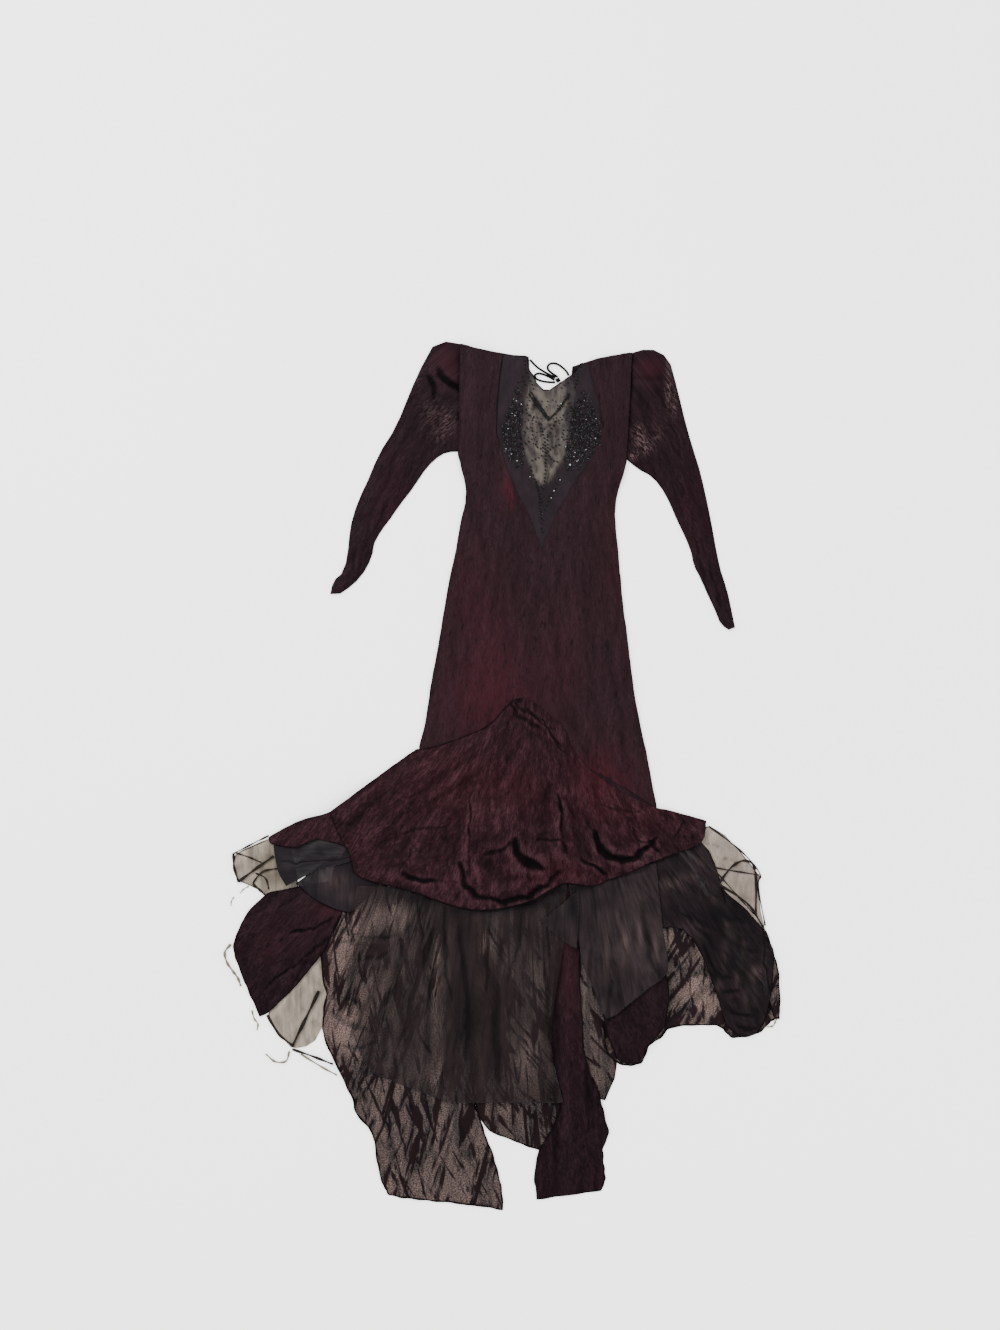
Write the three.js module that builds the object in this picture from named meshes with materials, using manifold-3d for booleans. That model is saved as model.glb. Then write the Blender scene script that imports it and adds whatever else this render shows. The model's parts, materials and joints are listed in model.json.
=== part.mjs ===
import * as THREE from "three";
import Module from "manifold-3d";
import { mergeVertices } from "three/addons/utils/BufferGeometryUtils.js";

// A long gown of crinkled burgundy mesh, laid face up on a flat surface. Millimetres, +Z up.
// Places on the garment are given as "across" (0 on the centre front line) and "down" (0 at the shoulders).
// Left and right are as seen from above, with the neck away from the viewer.

// Driving dimensions
const WALL = 1.3; // one layer of cloth
const LAYER_GAP = 0.35; // between layers that lie on each other
const SEAM_GAP = 0.3; // between pieces that meet edge to edge
const CELL = 4; // grid of the pile's height
const PRESSES = 8; // passes that let a sheet sink onto the pile
const FLOOR_LEFT = -640;
const FLOOR_RIGHT = 500;
const FLOOR_TOP = -40;
const FLOOR_END = 1700;
const SLEEVE_HOLLOW = 1.6; // space inside a flattened sleeve
const PAD_THICK = 6; // shoulder pad
const PAD_ROOM = 1.4; // the sleeve stands this much higher than the pad in it
const PAD_SPREAD = 1.7; // and its rise is this much wider
const CORD_DIAMETER = 3; // rouleau tie at the neck
const CORD_SIDES = 8;

// Cloths, with the colours of the dress
const CRINKLE = { color: 0x3c1f27, roughness: 0.75 }; // burgundy crinkled mesh
const CHIFFON = { color: 0x302e30, roughness: 0.7 }; // sheer black inset
const ORGANZA = { color: 0x3e3a3c, roughness: 0.5 }; // grey-black organza
const SHEER = { color: 0x6e5b58, roughness: 0.7 }; // burn-out mesh of the skirt points
const PLUM = { color: 0x331a23, roughness: 0.75 }; // opaque burgundy strips
const NET = { color: 0x9b8f86, roughness: 0.8 }; // fine net
const PAD = { color: 0x5a1f2a, roughness: 0.85 };
const TIE = { color: 0x1e1a1b, roughness: 0.6 };

const wasm = await Module();
wasm.setup();
const dress = new THREE.Group();

// The pile: the height of all the cloth laid so far, kept on a square grid.
const pileWide = Math.ceil((FLOOR_RIGHT - FLOOR_LEFT) / CELL);
const pileLong = Math.ceil((FLOOR_END - FLOOR_TOP) / CELL);
const pile = new Float32Array(pileWide * pileLong);

function cover(across, down, height) {
  const i = Math.floor((across - FLOOR_LEFT) / CELL);
  const j = Math.floor((down - FLOOR_TOP) / CELL);
  const cell = j * pileWide + i;
  pile[cell] = Math.max(pile[cell], height);
}

function highestNear(across, down, reach) {
  const span = Math.ceil(reach / CELL) + 1;
  const i = Math.floor((across - FLOOR_LEFT) / CELL);
  const j = Math.floor((down - FLOOR_TOP) / CELL);
  let highest = 0;
  for (let dj = -span; dj <= span; dj += 1) {
    for (let di = -span; di <= span; di += 1) {
      if (Math.hypot(di, dj) > span) continue;
      const row = j + dj;
      const column = i + di;
      if (row < 0 || column < 0 || row >= pileLong || column >= pileWide) continue;
      highest = Math.max(highest, pile[row * pileWide + column]);
    }
  }
  return highest;
}

// Visits places spread evenly over a triangle, closer together than the pile's cells.
function overTriangle(a, b, c, visit) {
  const size = Math.max(a.distanceTo(b), b.distanceTo(c), c.distanceTo(a));
  const steps = Math.ceil(size / (CELL * 0.6));
  for (let i = 0; i <= steps; i += 1) {
    for (let j = 0; j <= steps - i; j += 1) {
      const s = i / steps;
      const t = j / steps;
      const across = a.x + (b.x - a.x) * s + (c.x - a.x) * t;
      const down = -(a.y + (b.y - a.y) * s + (c.y - a.y) * t);
      visit(across, down, a.z + (b.z - a.z) * s + (c.z - a.z) * t);
    }
  }
}

// How far a corner of the cloth can sink before a triangle beside it comes too near the pile.
function roomBelow(a, b, c) {
  let room = Infinity;
  overTriangle(a, b, c, (across, down, height) => {
    const under = highestNear(across, down, 0);
    room = Math.min(room, height - (under > 0 ? under + LAYER_GAP : 0));
  });
  return room;
}

// A soft ridge over a line of the cloth, highest on the line and level with the cloth at its half width.
// A row of a fold table is: from across, from down, to across, to down, height, half width.
function ridgeHeight(folds, across, down) {
  let height = 0;
  for (const [fromAcross, fromDown, toAcross, toDown, high, halfWidth] of folds) {
    const lineAcross = toAcross - fromAcross;
    const lineDown = toDown - fromDown;
    const along = (across - fromAcross) * lineAcross + (down - fromDown) * lineDown;
    const share = THREE.MathUtils.clamp(along / (lineAcross ** 2 + lineDown ** 2), 0, 1);
    const away = Math.hypot(across - fromAcross - lineAcross * share, down - fromDown - lineDown * share);
    if (away < halfWidth) height += high * Math.cos((away / halfWidth) * (Math.PI / 2)) ** 2;
  }
  return height;
}

// The outline of a piece is a table of sections across it. A row holds two points, one on each edge,
// or three, with one between them: across, down, across, down and so on. Each edge is a smooth curve.
function edgeCurves(sections) {
  const pointCount = sections[0].length / 2;
  return Array.from({ length: pointCount }, (_, k) => {
    const points = sections.map((row) => new THREE.Vector3(row[2 * k], row[2 * k + 1], 0));
    return new THREE.CatmullRomCurve3(points, false, "centripetal");
  });
}

function sectionPoint(curves, alongShare, acrossShare) {
  const points = curves.map((curve) => curve.getPoint(alongShare));
  const t = acrossShare;
  const straight = [1 - t, t];
  const curved = [(1 - t) * (1 - 2 * t), 4 * t * (1 - t), t * (2 * t - 1)];
  const weights = points.length === 2 ? straight : curved;
  const place = new THREE.Vector3();
  points.forEach((point, k) => place.addScaledVector(point, weights[k]));
  return place;
}

function closedMesh(positions, triangles, flip) {
  const geometry = new THREE.BufferGeometry();
  geometry.setAttribute("position", new THREE.Float32BufferAttribute(positions, 3));
  const order = flip ? triangles.map(([a, b, c]) => [a, c, b]) : triangles;
  geometry.setIndex(order.flat());
  return geometry;
}

function toManifold(geometry) {
  const plain = geometry.clone();
  plain.deleteAttribute("normal");
  plain.deleteAttribute("uv");
  const merged = mergeVertices(plain, 1e-4);
  const vertProperties = new Float32Array(merged.attributes.position.array);
  const triVerts = new Uint32Array(merged.index.array);
  return new wasm.Manifold(new wasm.Mesh({ numProp: 3, vertProperties, triVerts }));
}

function fromManifold(solid) {
  const mesh = solid.getMesh();
  const geometry = new THREE.BufferGeometry();
  geometry.setAttribute("position", new THREE.BufferAttribute(mesh.vertProperties, 3));
  geometry.setIndex(new THREE.BufferAttribute(mesh.triVerts, 1));
  return geometry;
}

// An upright cutter whose outline is a table of rows: left across, left down, right across, right down.
function cutter(rows) {
  const left = rows.map(([across, down]) => new THREE.Vector2(across, -down));
  const right = rows.map(([, , across, down]) => new THREE.Vector2(across, -down));
  const shape = new THREE.Shape([...left, ...right.reverse()]);
  const prism = new THREE.ExtrudeGeometry(shape, { depth: 200, bevelEnabled: false });
  prism.translate(0, 0, -50);
  return toManifold(prism);
}

function addPiece(name, geometry, cloth) {
  geometry.computeVertexNormals();
  const mesh = new THREE.Mesh(geometry, new THREE.MeshStandardMaterial({ ...cloth, metalness: 0 }));
  mesh.name = name;
  dress.add(mesh);
}

// Lets each corner of a laid sheet sink as far as the cloth beside it allows.
function pressed(grid, height) {
  const corner = (j, i) => new THREE.Vector3(grid[j][i].x, -grid[j][i].y, height[j][i]);
  const room = height.map((line) => line.map(() => Infinity));
  for (let j = 0; j + 1 < grid.length; j += 1) {
    for (let i = 0; i + 1 < grid[0].length; i += 1) {
      for (const [dj, di] of [[1, 0], [0, 1]]) {
        const places = [[j, i], [j + dj, i + di], [j + 1, i + 1]];
        const least = roomBelow(...places.map(([row, column]) => corner(row, column)));
        for (const [row, column] of places) room[row][column] = Math.min(room[row][column], least);
      }
    }
  }
  return height.map((line, j) => line.map((own, i) => Math.max(0, own - Math.max(0, room[j][i]))));
}

// Lays one piece of cloth on the pile: it rests on what lies under it, spans the hollows softly
// and rises over its own folds.
function layCloth(name, cloth, { sections, rows, columns, folds = [], settle = 3, cuts = [] }) {
  const curves = edgeCurves(sections);
  const grid = [];
  for (let j = 0; j <= rows; j += 1) {
    grid.push(Array.from({ length: columns + 1 }, (_, i) => sectionPoint(curves, j / rows, i / columns)));
  }
  const near = (j, i) => (grid[j] && grid[j][i] ? grid[j][i] : null);
  const around = [
    [-1, -1], [-1, 0], [-1, 1], [0, -1], [0, 1], [1, -1], [1, 0], [1, 1],
  ];
  const resting = grid.map((line, j) =>
    line.map((place, i) => {
      const neighbours = around.map(([dj, di]) => near(j + dj, i + di)).filter(Boolean);
      const reach = Math.max(...neighbours.map((other) => Math.hypot(other.x - place.x, other.y - place.y)));
      const under = highestNear(place.x, place.y, reach);
      return under > 0 ? under + LAYER_GAP : 0;
    }),
  );
  let height = resting.map((line) => [...line]);
  for (let pass = 0; pass < PRESSES; pass += 1) height = pressed(grid, height);
  const seated = height;
  for (let pass = 0; pass < settle; pass += 1) {
    height = height.map((line, j) =>
      line.map((own, i) => {
        const sides = [[-1, 0], [1, 0], [0, -1], [0, 1]];
        const beside = sides.map(([dj, di]) => (height[j + dj] ? height[j + dj][i + di] : undefined));
        const known = beside.filter((value) => value !== undefined);
        const mean = known.reduce((sum, value) => sum + value, 0) / known.length;
        return Math.max(seated[j][i], mean);
      }),
    );
  }
  const positions = [];
  for (const thickness of [0, WALL]) {
    grid.forEach((line, j) =>
      line.forEach((place, i) => {
        const z = height[j][i] + ridgeHeight(folds, place.x, place.y) + thickness;
        positions.push(place.x, -place.y, z);
      }),
    );
  }
  const width = columns + 1;
  const layer = width * (rows + 1);
  const at = (j, i, upper) => j * width + i + (upper ? layer : 0);
  const triangles = [];
  for (let j = 0; j < rows; j += 1) {
    for (let i = 0; i < columns; i += 1) {
      triangles.push([at(j, i, 1), at(j + 1, i, 1), at(j + 1, i + 1, 1)]);
      triangles.push([at(j, i, 1), at(j + 1, i + 1, 1), at(j, i + 1, 1)]);
      triangles.push([at(j, i, 0), at(j + 1, i + 1, 0), at(j + 1, i, 0)]);
      triangles.push([at(j, i, 0), at(j, i + 1, 0), at(j + 1, i + 1, 0)]);
    }
  }
  const rim = [];
  for (let j = 0; j < rows; j += 1) rim.push([at(j, 0), at(j + 1, 0)]);
  for (let i = 0; i < columns; i += 1) rim.push([at(rows, i), at(rows, i + 1)]);
  for (let j = rows; j > 0; j -= 1) rim.push([at(j, columns), at(j - 1, columns)]);
  for (let i = columns; i > 0; i -= 1) rim.push([at(0, i), at(0, i - 1)]);
  for (const [from, to] of rim) {
    triangles.push([from, to, to + layer]);
    triangles.push([from, to + layer, from + layer]);
  }
  const middle = [Math.floor(rows / 2), Math.floor(columns / 2)];
  const corner = grid[middle[0]][middle[1]];
  const downStep = grid[middle[0] + 1][middle[1]].clone().sub(corner);
  const acrossStep = grid[middle[0]][middle[1] + 1].clone().sub(corner);
  const mirrored = acrossStep.x * downStep.y - acrossStep.y * downStep.x < 0;
  let geometry = closedMesh(positions, triangles, mirrored);
  if (cuts.length) {
    let solid = toManifold(geometry);
    for (const cut of cuts) solid = solid.subtract(cut);
    geometry = fromManifold(solid);
  }
  coverPile(geometry);
  addPiece(name, geometry, cloth);
}

function coverPile(geometry) {
  const points = geometry.attributes.position;
  const corners = geometry.index.array;
  const vertex = (k) => new THREE.Vector3().fromBufferAttribute(points, corners[k]);
  for (let k = 0; k < corners.length; k += 3) {
    overTriangle(vertex(k), vertex(k + 1), vertex(k + 2), cover);
  }
}

// A sleeve is one tube pressed flat: rings run round it, square to its length, from armhole to cuff.
// Its lower layer lies on the surface, and its upper layer rises over the hollow, the pad and the folds.
function laySleeve(name, { sections, rings, columns, folds, pad }) {
  const curves = edgeCurves(sections);
  const ringSize = 2 * columns;
  const positions = { outer: [], inner: [] };
  for (let j = 0; j <= rings; j += 1) {
    const from = sectionPoint(curves, j / rings, 0);
    const to = sectionPoint(curves, j / rings, 1);
    const width = from.distanceTo(to);
    for (let k = 0; k < ringSize; k += 1) {
      const upper = k > columns;
      const share = upper ? (ringSize - k) / columns : k / columns;
      const edge = k % columns === 0;
      const rounded = Math.sin(Math.PI * share);
      const place = from.clone().lerp(to, share);
      const padRise = PAD_ROOM * padHeight(pad, place.x, place.y, PAD_SPREAD);
      const hollow = SLEEVE_HOLLOW * (0.5 + 0.5 * rounded) + padRise;
      const rise = ridgeHeight(folds, place.x, place.y) * rounded;
      const roof = 2 * WALL + hollow + rise;
      const fold = WALL + hollow / 2;
      positions.outer.push([place.x, -place.y, edge ? fold : upper ? roof : 0]);
      const inset = edge ? (WALL / width) * (k === 0 ? 1 : -1) : 0;
      const inside = from.clone().lerp(to, share + inset);
      positions.inner.push([inside.x, -inside.y, edge ? fold : upper ? roof - WALL : WALL]);
    }
  }
  const half = (rings + 1) * ringSize;
  const at = (j, k, inner) => j * ringSize + (k % ringSize) + (inner ? half : 0);
  const triangles = [];
  const quad = (a, b, c, d) => triangles.push([a, b, c], [a, c, d]);
  for (let j = 0; j < rings; j += 1) {
    for (let k = 0; k < ringSize; k += 1) {
      quad(at(j, k, 0), at(j, k + 1, 0), at(j + 1, k + 1, 0), at(j + 1, k, 0));
      quad(at(j, k, 1), at(j + 1, k, 1), at(j + 1, k + 1, 1), at(j, k + 1, 1));
    }
  }
  for (let k = 0; k < ringSize; k += 1) {
    quad(at(0, k, 0), at(0, k, 1), at(0, k + 1, 1), at(0, k + 1, 0));
    quad(at(rings, k, 0), at(rings, k + 1, 0), at(rings, k + 1, 1), at(rings, k, 1));
  }
  const mirrored = sections[0][0] < sections[sections.length - 1][0];
  const geometry = closedMesh([...positions.outer, ...positions.inner].flat(), triangles, mirrored);
  coverPile(geometry);
  addPiece(name, geometry, CRINKLE);
}

// A pad is a low dome. Its height at a place on the garment:
function padHeight(pad, across, down, spread) {
  const away = Math.hypot((across - pad.across) / pad.halfWidth, (down - pad.down) / pad.halfLength) / spread;
  return away < 1 ? PAD_THICK * (1 - away ** 2) : 0;
}

function layPad(name, pad) {
  const slope = 5;
  const profile = [new THREE.Vector2(0, 0)];
  for (let k = 0; k <= slope; k += 1) {
    const share = 1 - k / slope;
    profile.push(new THREE.Vector2(share, Math.max(0.5, PAD_THICK * (1 - share ** 2))));
    if (k === 0) profile.splice(1, 0, new THREE.Vector2(1, 0));
  }
  profile[profile.length - 1].x = 0;
  const dome = new THREE.LatheGeometry(profile, 14);
  dome.rotateX(Math.PI / 2);
  dome.scale(pad.halfWidth, pad.halfLength, 1);
  dome.translate(pad.across, -pad.down, WALL + LAYER_GAP);
  dome.deleteAttribute("normal");
  dome.deleteAttribute("uv");
  addPiece(name, mergeVertices(dome, 1e-3), PAD);
}

// A tie lies on the surface along a list of places: across, down.
function layTie(name, route) {
  const radius = CORD_DIAMETER / 2;
  const height = radius + LAYER_GAP;
  const points = route.map(([across, down]) => new THREE.Vector3(across, -down, height));
  const curve = new THREE.CatmullRomCurve3(points, false, "centripetal");
  const ring = new THREE.Shape();
  ring.absarc(0, 0, radius, 0, 2 * Math.PI);
  const steps = Math.max(6, Math.round(curve.getLength() / (2.2 * CORD_DIAMETER)));
  const options = { steps, curveSegments: CORD_SIDES, extrudePath: curve, bevelEnabled: false };
  const cord = new THREE.ExtrudeGeometry(ring, options);
  cord.deleteAttribute("normal");
  cord.deleteAttribute("uv");
  addPiece(name, mergeVertices(cord, 1e-3), TIE);
}

// Bodice. Section rows: left across, left down, middle across, middle down, right across, right down.
const BODY = [
  [-164, -2, 0, 25, 168, 15], // shoulders
  [-165, 55, 2, 66, 166, 55],
  [-166, 124, 0, 127, 162, 124],
  [-167, 198, -4, 203, 157, 212], // underarms
  [-152, 260, -4, 260, 144, 260],
  [-150, 294, -8, 294, 135, 294],
  [-159, 332, -11, 332, 133, 332], // waist
  [-169, 390, -15, 390, 139, 390],
  [-184, 460, -19, 460, 144, 460],
  [-196, 534, -21, 534, 153, 534], // hips
  [-207, 597, -23, 597, 161, 597],
  [-218, 654, -25, 654, 168, 654],
  [-226, 714, -23, 714, 179, 714],
];
const BACK_END = [
  [-236, 754, -19, 760, 192, 773],
  [-239, 808, -15, 826, 212, 882],
];
const FRONT_END = [
  [-235, 748, -40, 741, 192, 773], // the rising seam of the flounce covers this edge
  [-239, 766, -36, 755, 201, 825],
  [-238, 776, -28, 765, 212, 880],
];
// Cut-outs. Rows: left across, left down, right across, right down.
const FRONT_INSET = [
  [-78, -40, 76, -40],
  [-80, 15, 78, 15],
  [-86, 49, 86, 49],
  [-92, 112, 103, 112],
  [-93, 165, 106, 165],
  [-76, 228, 82, 228],
  [-55, 276, 48, 276],
  [-32, 321, 23, 321],
  [-20, 352, 9, 352],
  [-8, 386, -5, 386],
];
const NECK = [
  [-34, -40, 70, -40],
  [-33, 36, 68, 36],
  [-30, 48, 59, 48],
  [-22, 59, 49, 59],
  [-16, 72, 30, 72],
  [-4, 86, 9, 86],
];
const KEYHOLE = [
  [-32, -40, 55, -40],
  [-30, 61, 51, 61],
  [-34, 89, 59, 89],
  [-48, 150, 48, 150],
  [-42, 188, 38, 188],
  [-31, 230, 23, 230],
  [-13, 264, 2, 264],
  [-8, 276, -4, 276],
];
// The right side of the neckline slopes down to the neck.
const NECK_SLOPE = [
  [50, -40, 140, -40],
  [50, 0, 140, 18],
  [50, 20, 100, 26],
  [50, 42, 75, 34],
];
// The armholes trim the body just inside the sleeves' first sections.
const ARMHOLE_LEFT = [
  [-260, -40, -160.5 + SEAM_GAP, -40],
  [-260, 0, -160.5 + SEAM_GAP, 0],
  [-260, 203 + SEAM_GAP, -163.9 + SEAM_GAP, 203 + SEAM_GAP],
  [-260, 206, -188, 205 + SEAM_GAP],
];
const ARMHOLE_RIGHT = [
  [164.8 - SEAM_GAP, -40, 260, -40],
  [164.8 - SEAM_GAP, 15, 260, 15],
  [153.8 - SEAM_GAP, 217 + SEAM_GAP, 260, 217 + SEAM_GAP],
  [177, 236 + SEAM_GAP, 260, 237],
];
const YOKE = [
  [-87, 18, 2, 24, 85, 25],
  [-93, 49, 2, 60, 93, 49],
  [-99, 112, 4, 112, 110, 112],
  [-100, 165, 4, 165, 113, 165],
  [-84, 228, 3, 228, 90, 228],
  [-63, 276, -3, 276, 56, 276],
  [-40, 321, -5, 321, 31, 321],
  [-27, 352, -5, 352, 16, 352],
  [-14, 393, -6, 393, 2, 393],
];

// Sleeves. Section rows: outer across, outer down, inner across, inner down.
const SLEEVE_LEFT = [
  [-160.5, -2, -163.9, 203],
  [-205, -4, -188, 205],
  [-241, 55, -209, 218],
  [-262, 104, -230, 241],
  [-285, 158, -252, 274],
  [-315, 207, -274, 302], // elbow
  [-336, 256, -294, 331],
  [-357, 302, -312, 355],
  [-370, 348, -325, 380],
  [-374, 386, -327, 395],
  [-384, 431, -340, 426],
  [-401, 448, -363, 454],
  [-408, 473, -388, 472], // cuff
];
const SLEEVE_RIGHT = [
  [164.8, 15, 153.8, 217],
  [200, 8, 177, 236],
  [232, 25, 203, 251],
  [247, 66, 224, 277],
  [264, 136, 239, 306],
  [279, 190, 250, 332], // elbow
  [294, 238, 264, 361],
  [306, 289, 277, 393],
  [315, 332, 283, 420],
  [325, 387, 294, 441],
  [334, 429, 308, 473],
  [346, 466, 321, 500],
  [355, 507, 334, 530],
  [361, 536, 348, 541], // cuff
];
const PAD_LEFT = { across: -190, down: 50, halfWidth: 19, halfLength: 29 };
const PAD_RIGHT = { across: 194, down: 60, halfWidth: 19, halfLength: 25 };
// Fold rows: from across, from down, to across, to down, height, half width.
const SLEEVE_LEFT_FOLDS = [
  [-225, 110, -240, 200, 1.6, 16],
  [-262, 170, -285, 240, 1.8, 16],
  [-300, 250, -335, 320, 2.0, 14],
  [-325, 300, -352, 370, 2.2, 12],
  [-350, 350, -352, 430, 2.4, 12],
  [-375, 430, -385, 465, 2.0, 10],
];
const SLEEVE_RIGHT_FOLDS = [
  [205, 110, 220, 220, 1.6, 16],
  [243, 170, 262, 270, 1.8, 16],
  [262, 260, 290, 350, 2.0, 14],
  [290, 330, 305, 420, 2.2, 12],
  [312, 400, 328, 470, 2.4, 12],
  [330, 460, 346, 520, 2.2, 10],
];
const FRONT_FOLDS = [
  [-152, 215, -84, 300, 2.2, 22],
  [140, 225, 84, 300, 2.2, 22],
  [-8, 409, -120, 600, 2.2, 30],
  [-38, 485, -48, 640, 2.6, 30],
  [20, 420, 60, 600, 2.0, 30],
  [86, 257, 40, 380, 2.0, 26],
  [105, 560, 152, 740, 2.4, 28],
  [-171, 580, -205, 720, 2.4, 28],
  [60, 640, 120, 780, 2.4, 28],
];

// Skirt layers, from the surface up. Section rows: one edge across, down, other edge across, down.
const NET_LEFT = [
  [-580, 963, -494, 925],
  [-591, 975, -481, 963],
  [-583, 1018, -471, 1016],
  [-553, 1028, -466, 1064],
  [-528, 1049, -456, 1102],
];
const NET_LOWER_LEFT = [
  [-466, 1112, -399, 1121],
  [-484, 1197, -408, 1188],
  [-517, 1252, -414, 1244],
  [-526, 1271, -422, 1292],
  [-500, 1315, -443, 1328],
  [-483, 1334, -473, 1336],
];
const NET_RIGHT = [
  [256, 937, 312, 914],
  [279, 960, 350, 939],
  [298, 998, 382, 978],
  [317, 1036, 408, 1011],
  [336, 1064, 403, 1039],
  [361, 1102, 418, 1113],
  [380, 1140, 424, 1142],
];
const MESH_LEFT = [
  [-232, 790, -90, 796],
  [-330, 900, -130, 900],
  [-393, 980, -138, 980],
  [-416, 1054, -124, 1054],
  [-426, 1163, -104, 1150],
  [-416, 1244, -91, 1244],
  [-424, 1302, -97, 1340],
  [-388, 1378, -112, 1406],
  [-365, 1431, -135, 1442],
  [-361, 1459, -125, 1467],
  [-327, 1497, -112, 1507],
  [-317, 1558, -95, 1558],
  [-306, 1596, -83, 1604],
  [-298, 1614, -80, 1642], // finished past the picture's edge
];
const MESH_CENTRE = [
  [-84, 800, 60, 818],
  [-140, 920, 48, 920],
  [-168, 1045, 38, 1036],
  [-158, 1168, 28, 1168],
  [-146, 1282, 22, 1282],
  [-137, 1410, 32, 1396],
  [-118, 1480, 32, 1442],
  [-85, 1500, 16, 1484],
  [-44, 1517, 2, 1508],
  [-13, 1528, -2, 1528],
];
const MESH_RIGHT_CENTRE = [
  [66, 822, 118, 850],
  [44, 960, 150, 960],
  [38, 1082, 152, 1082],
  [51, 1168, 142, 1168],
  [61, 1226, 127, 1229],
  [66, 1282, 131, 1279],
  [74, 1340, 137, 1336],
  [84, 1389, 135, 1383],
  [97, 1429, 114, 1434],
];
const MESH_RIGHT = [
  [120, 852, 114, 1340],
  [132, 858, 146, 1366],
  [143, 864, 182, 1364],
  [152, 870, 194, 1332],
  [161, 876, 222, 1313],
  [170, 880, 234, 1298],
  [179, 885, 294, 1292],
  [188, 888, 340, 1296],
  [197, 892, 357, 1315],
  [204, 896, 408, 1305],
  [210, 900, 428, 1284],
  [216, 903, 444, 1277],
];
const MESH_FAR_RIGHT = [
  [405, 1102, 420, 1113],
  [416, 1140, 433, 1150],
  [422, 1178, 442, 1184],
  [422, 1216, 445, 1220],
  [426, 1250, 446, 1256],
  [435, 1275, 445, 1279],
];
const STRIP_LEFT = [
  [-524, 1040, -399, 1016],
  [-560, 1072, -380, 1064],
  [-578, 1104, -395, 1096],
  [-592, 1142, -420, 1150],
  [-580, 1186, -450, 1189],
  [-562, 1227, -483, 1227],
  [-542, 1275, -528, 1269],
];
const STRIP_CENTRE = [
  [30, 1008, 62, 1008],
  [28, 1102, 66, 1102],
  [21, 1159, 66, 1159],
  [19, 1210, 66, 1216],
  [11, 1282, 70, 1282],
  [15, 1351, 74, 1351],
  [28, 1408, 99, 1414],
  [30, 1446, 111, 1456],
  [8, 1499, 120, 1503],
  [-8, 1524, 108, 1526],
  [-17, 1558, 112, 1558],
  [-19, 1592, 113, 1588],
  [-15, 1622, 106, 1606], // finished past the picture's edge
];
const PLUM_RIGHT = [
  [112, 1216, 180, 1159],
  [112, 1254, 222, 1184],
  [114, 1292, 234, 1226],
  [127, 1330, 232, 1267],
  [144, 1360, 222, 1300],
  [178, 1362, 198, 1326],
];
const ORGANZA_LEFT_UPPER = [
  [-515, 950, -370, 929],
  [-511, 978, -363, 960],
  [-505, 1001, -367, 980],
  [-490, 1026, -407, 982],
];
const ORGANZA_LEFT_LOWER = [
  [-471, 1022, -405, 971],
  [-443, 1047, -363, 975],
  [-401, 1070, -321, 994],
  [-370, 1077, -315, 1026],
];
const VEIL_LEFT = [
  [-355, 1026, -142, 1036],
  [-374, 1112, -142, 1112],
  [-380, 1188, -150, 1197],
  [-370, 1282, -162, 1292],
  [-348, 1349, -177, 1378],
  [-329, 1381, -188, 1436],
];
const VEIL_CENTRE = [
  [-218, 1036, 40, 1016],
  [-215, 1121, 38, 1112],
  [-211, 1197, 25, 1203],
  [-203, 1282, 13, 1282],
  [-196, 1358, 15, 1358],
  [-186, 1436, 34, 1436],
];
const ORGANZA_FOLD = [
  [63, 1034, -6, 1092],
  [63, 1064, 8, 1106],
  [61, 1102, 28, 1123],
  [59, 1144, 51, 1140],
];
const ORGANZA_RIGHT = [
  [44, 1016, 72, 1178],
  [76, 1020, 97, 1231],
  [104, 1016, 116, 1277],
  [139, 1001, 154, 1252],
  [169, 994, 196, 1218],
  [196, 986, 232, 1189],
  [209, 982, 226, 1140],
];
const ORGANZA_OUTER = [
  [165, 990, 215, 1108],
  [204, 976, 249, 1104],
  [250, 956, 283, 1130],
  [290, 943, 321, 1216],
  [313, 964, 350, 1300],
  [327, 1000, 384, 1312],
  [336, 1030, 406, 1302],
  [360, 1055, 420, 1270],
  [386, 1077, 430, 1220],
  [412, 1108, 433, 1160],
];
const FLOUNCE_UNDER = [
  [-524, 935, -521, 946],
  [-498, 920, -492, 952],
  [-471, 906, -464, 952],
  [-443, 897, -435, 937],
  [-412, 889, -401, 944],
  [-370, 866, -367, 956],
];
// Flounce. Rows run round it from its left side to its right: seam, middle and hem, each across, down.
const FLOUNCE = [
  [-243, 768, -289, 800, -408, 887],
  [-230, 768, -279, 826, -388, 933],
  [-213, 764, -276, 864, -367, 973],
  [-192, 758, -260, 893, -361, 1003],
  [-169, 750, -238, 899, -304, 1024],
  [-146, 741, -200, 902, -247, 1037],
  [-124, 732, -162, 893, -203, 1054],
  [-101, 718, -131, 884, -135, 1072],
  [-82, 697, -101, 874, -72, 1066],
  [-63, 678, -66, 864, -21, 1051],
  [-44, 671, -28, 855, 34, 1020], // peak of the seam
  [-25, 676, 0, 846, 87, 1026],
  [-4, 692, 28, 855, 124, 1013],
  [17, 709, 57, 864, 158, 1001],
  [34, 726, 89, 874, 192, 984],
  [51, 766, 124, 887, 224, 973],
  [86, 807, 158, 899, 256, 961],
  [133, 842, 190, 902, 289, 950],
  [177, 864, 218, 900, 302, 935],
  [211, 880, 245, 886, 306, 904],
];
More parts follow.
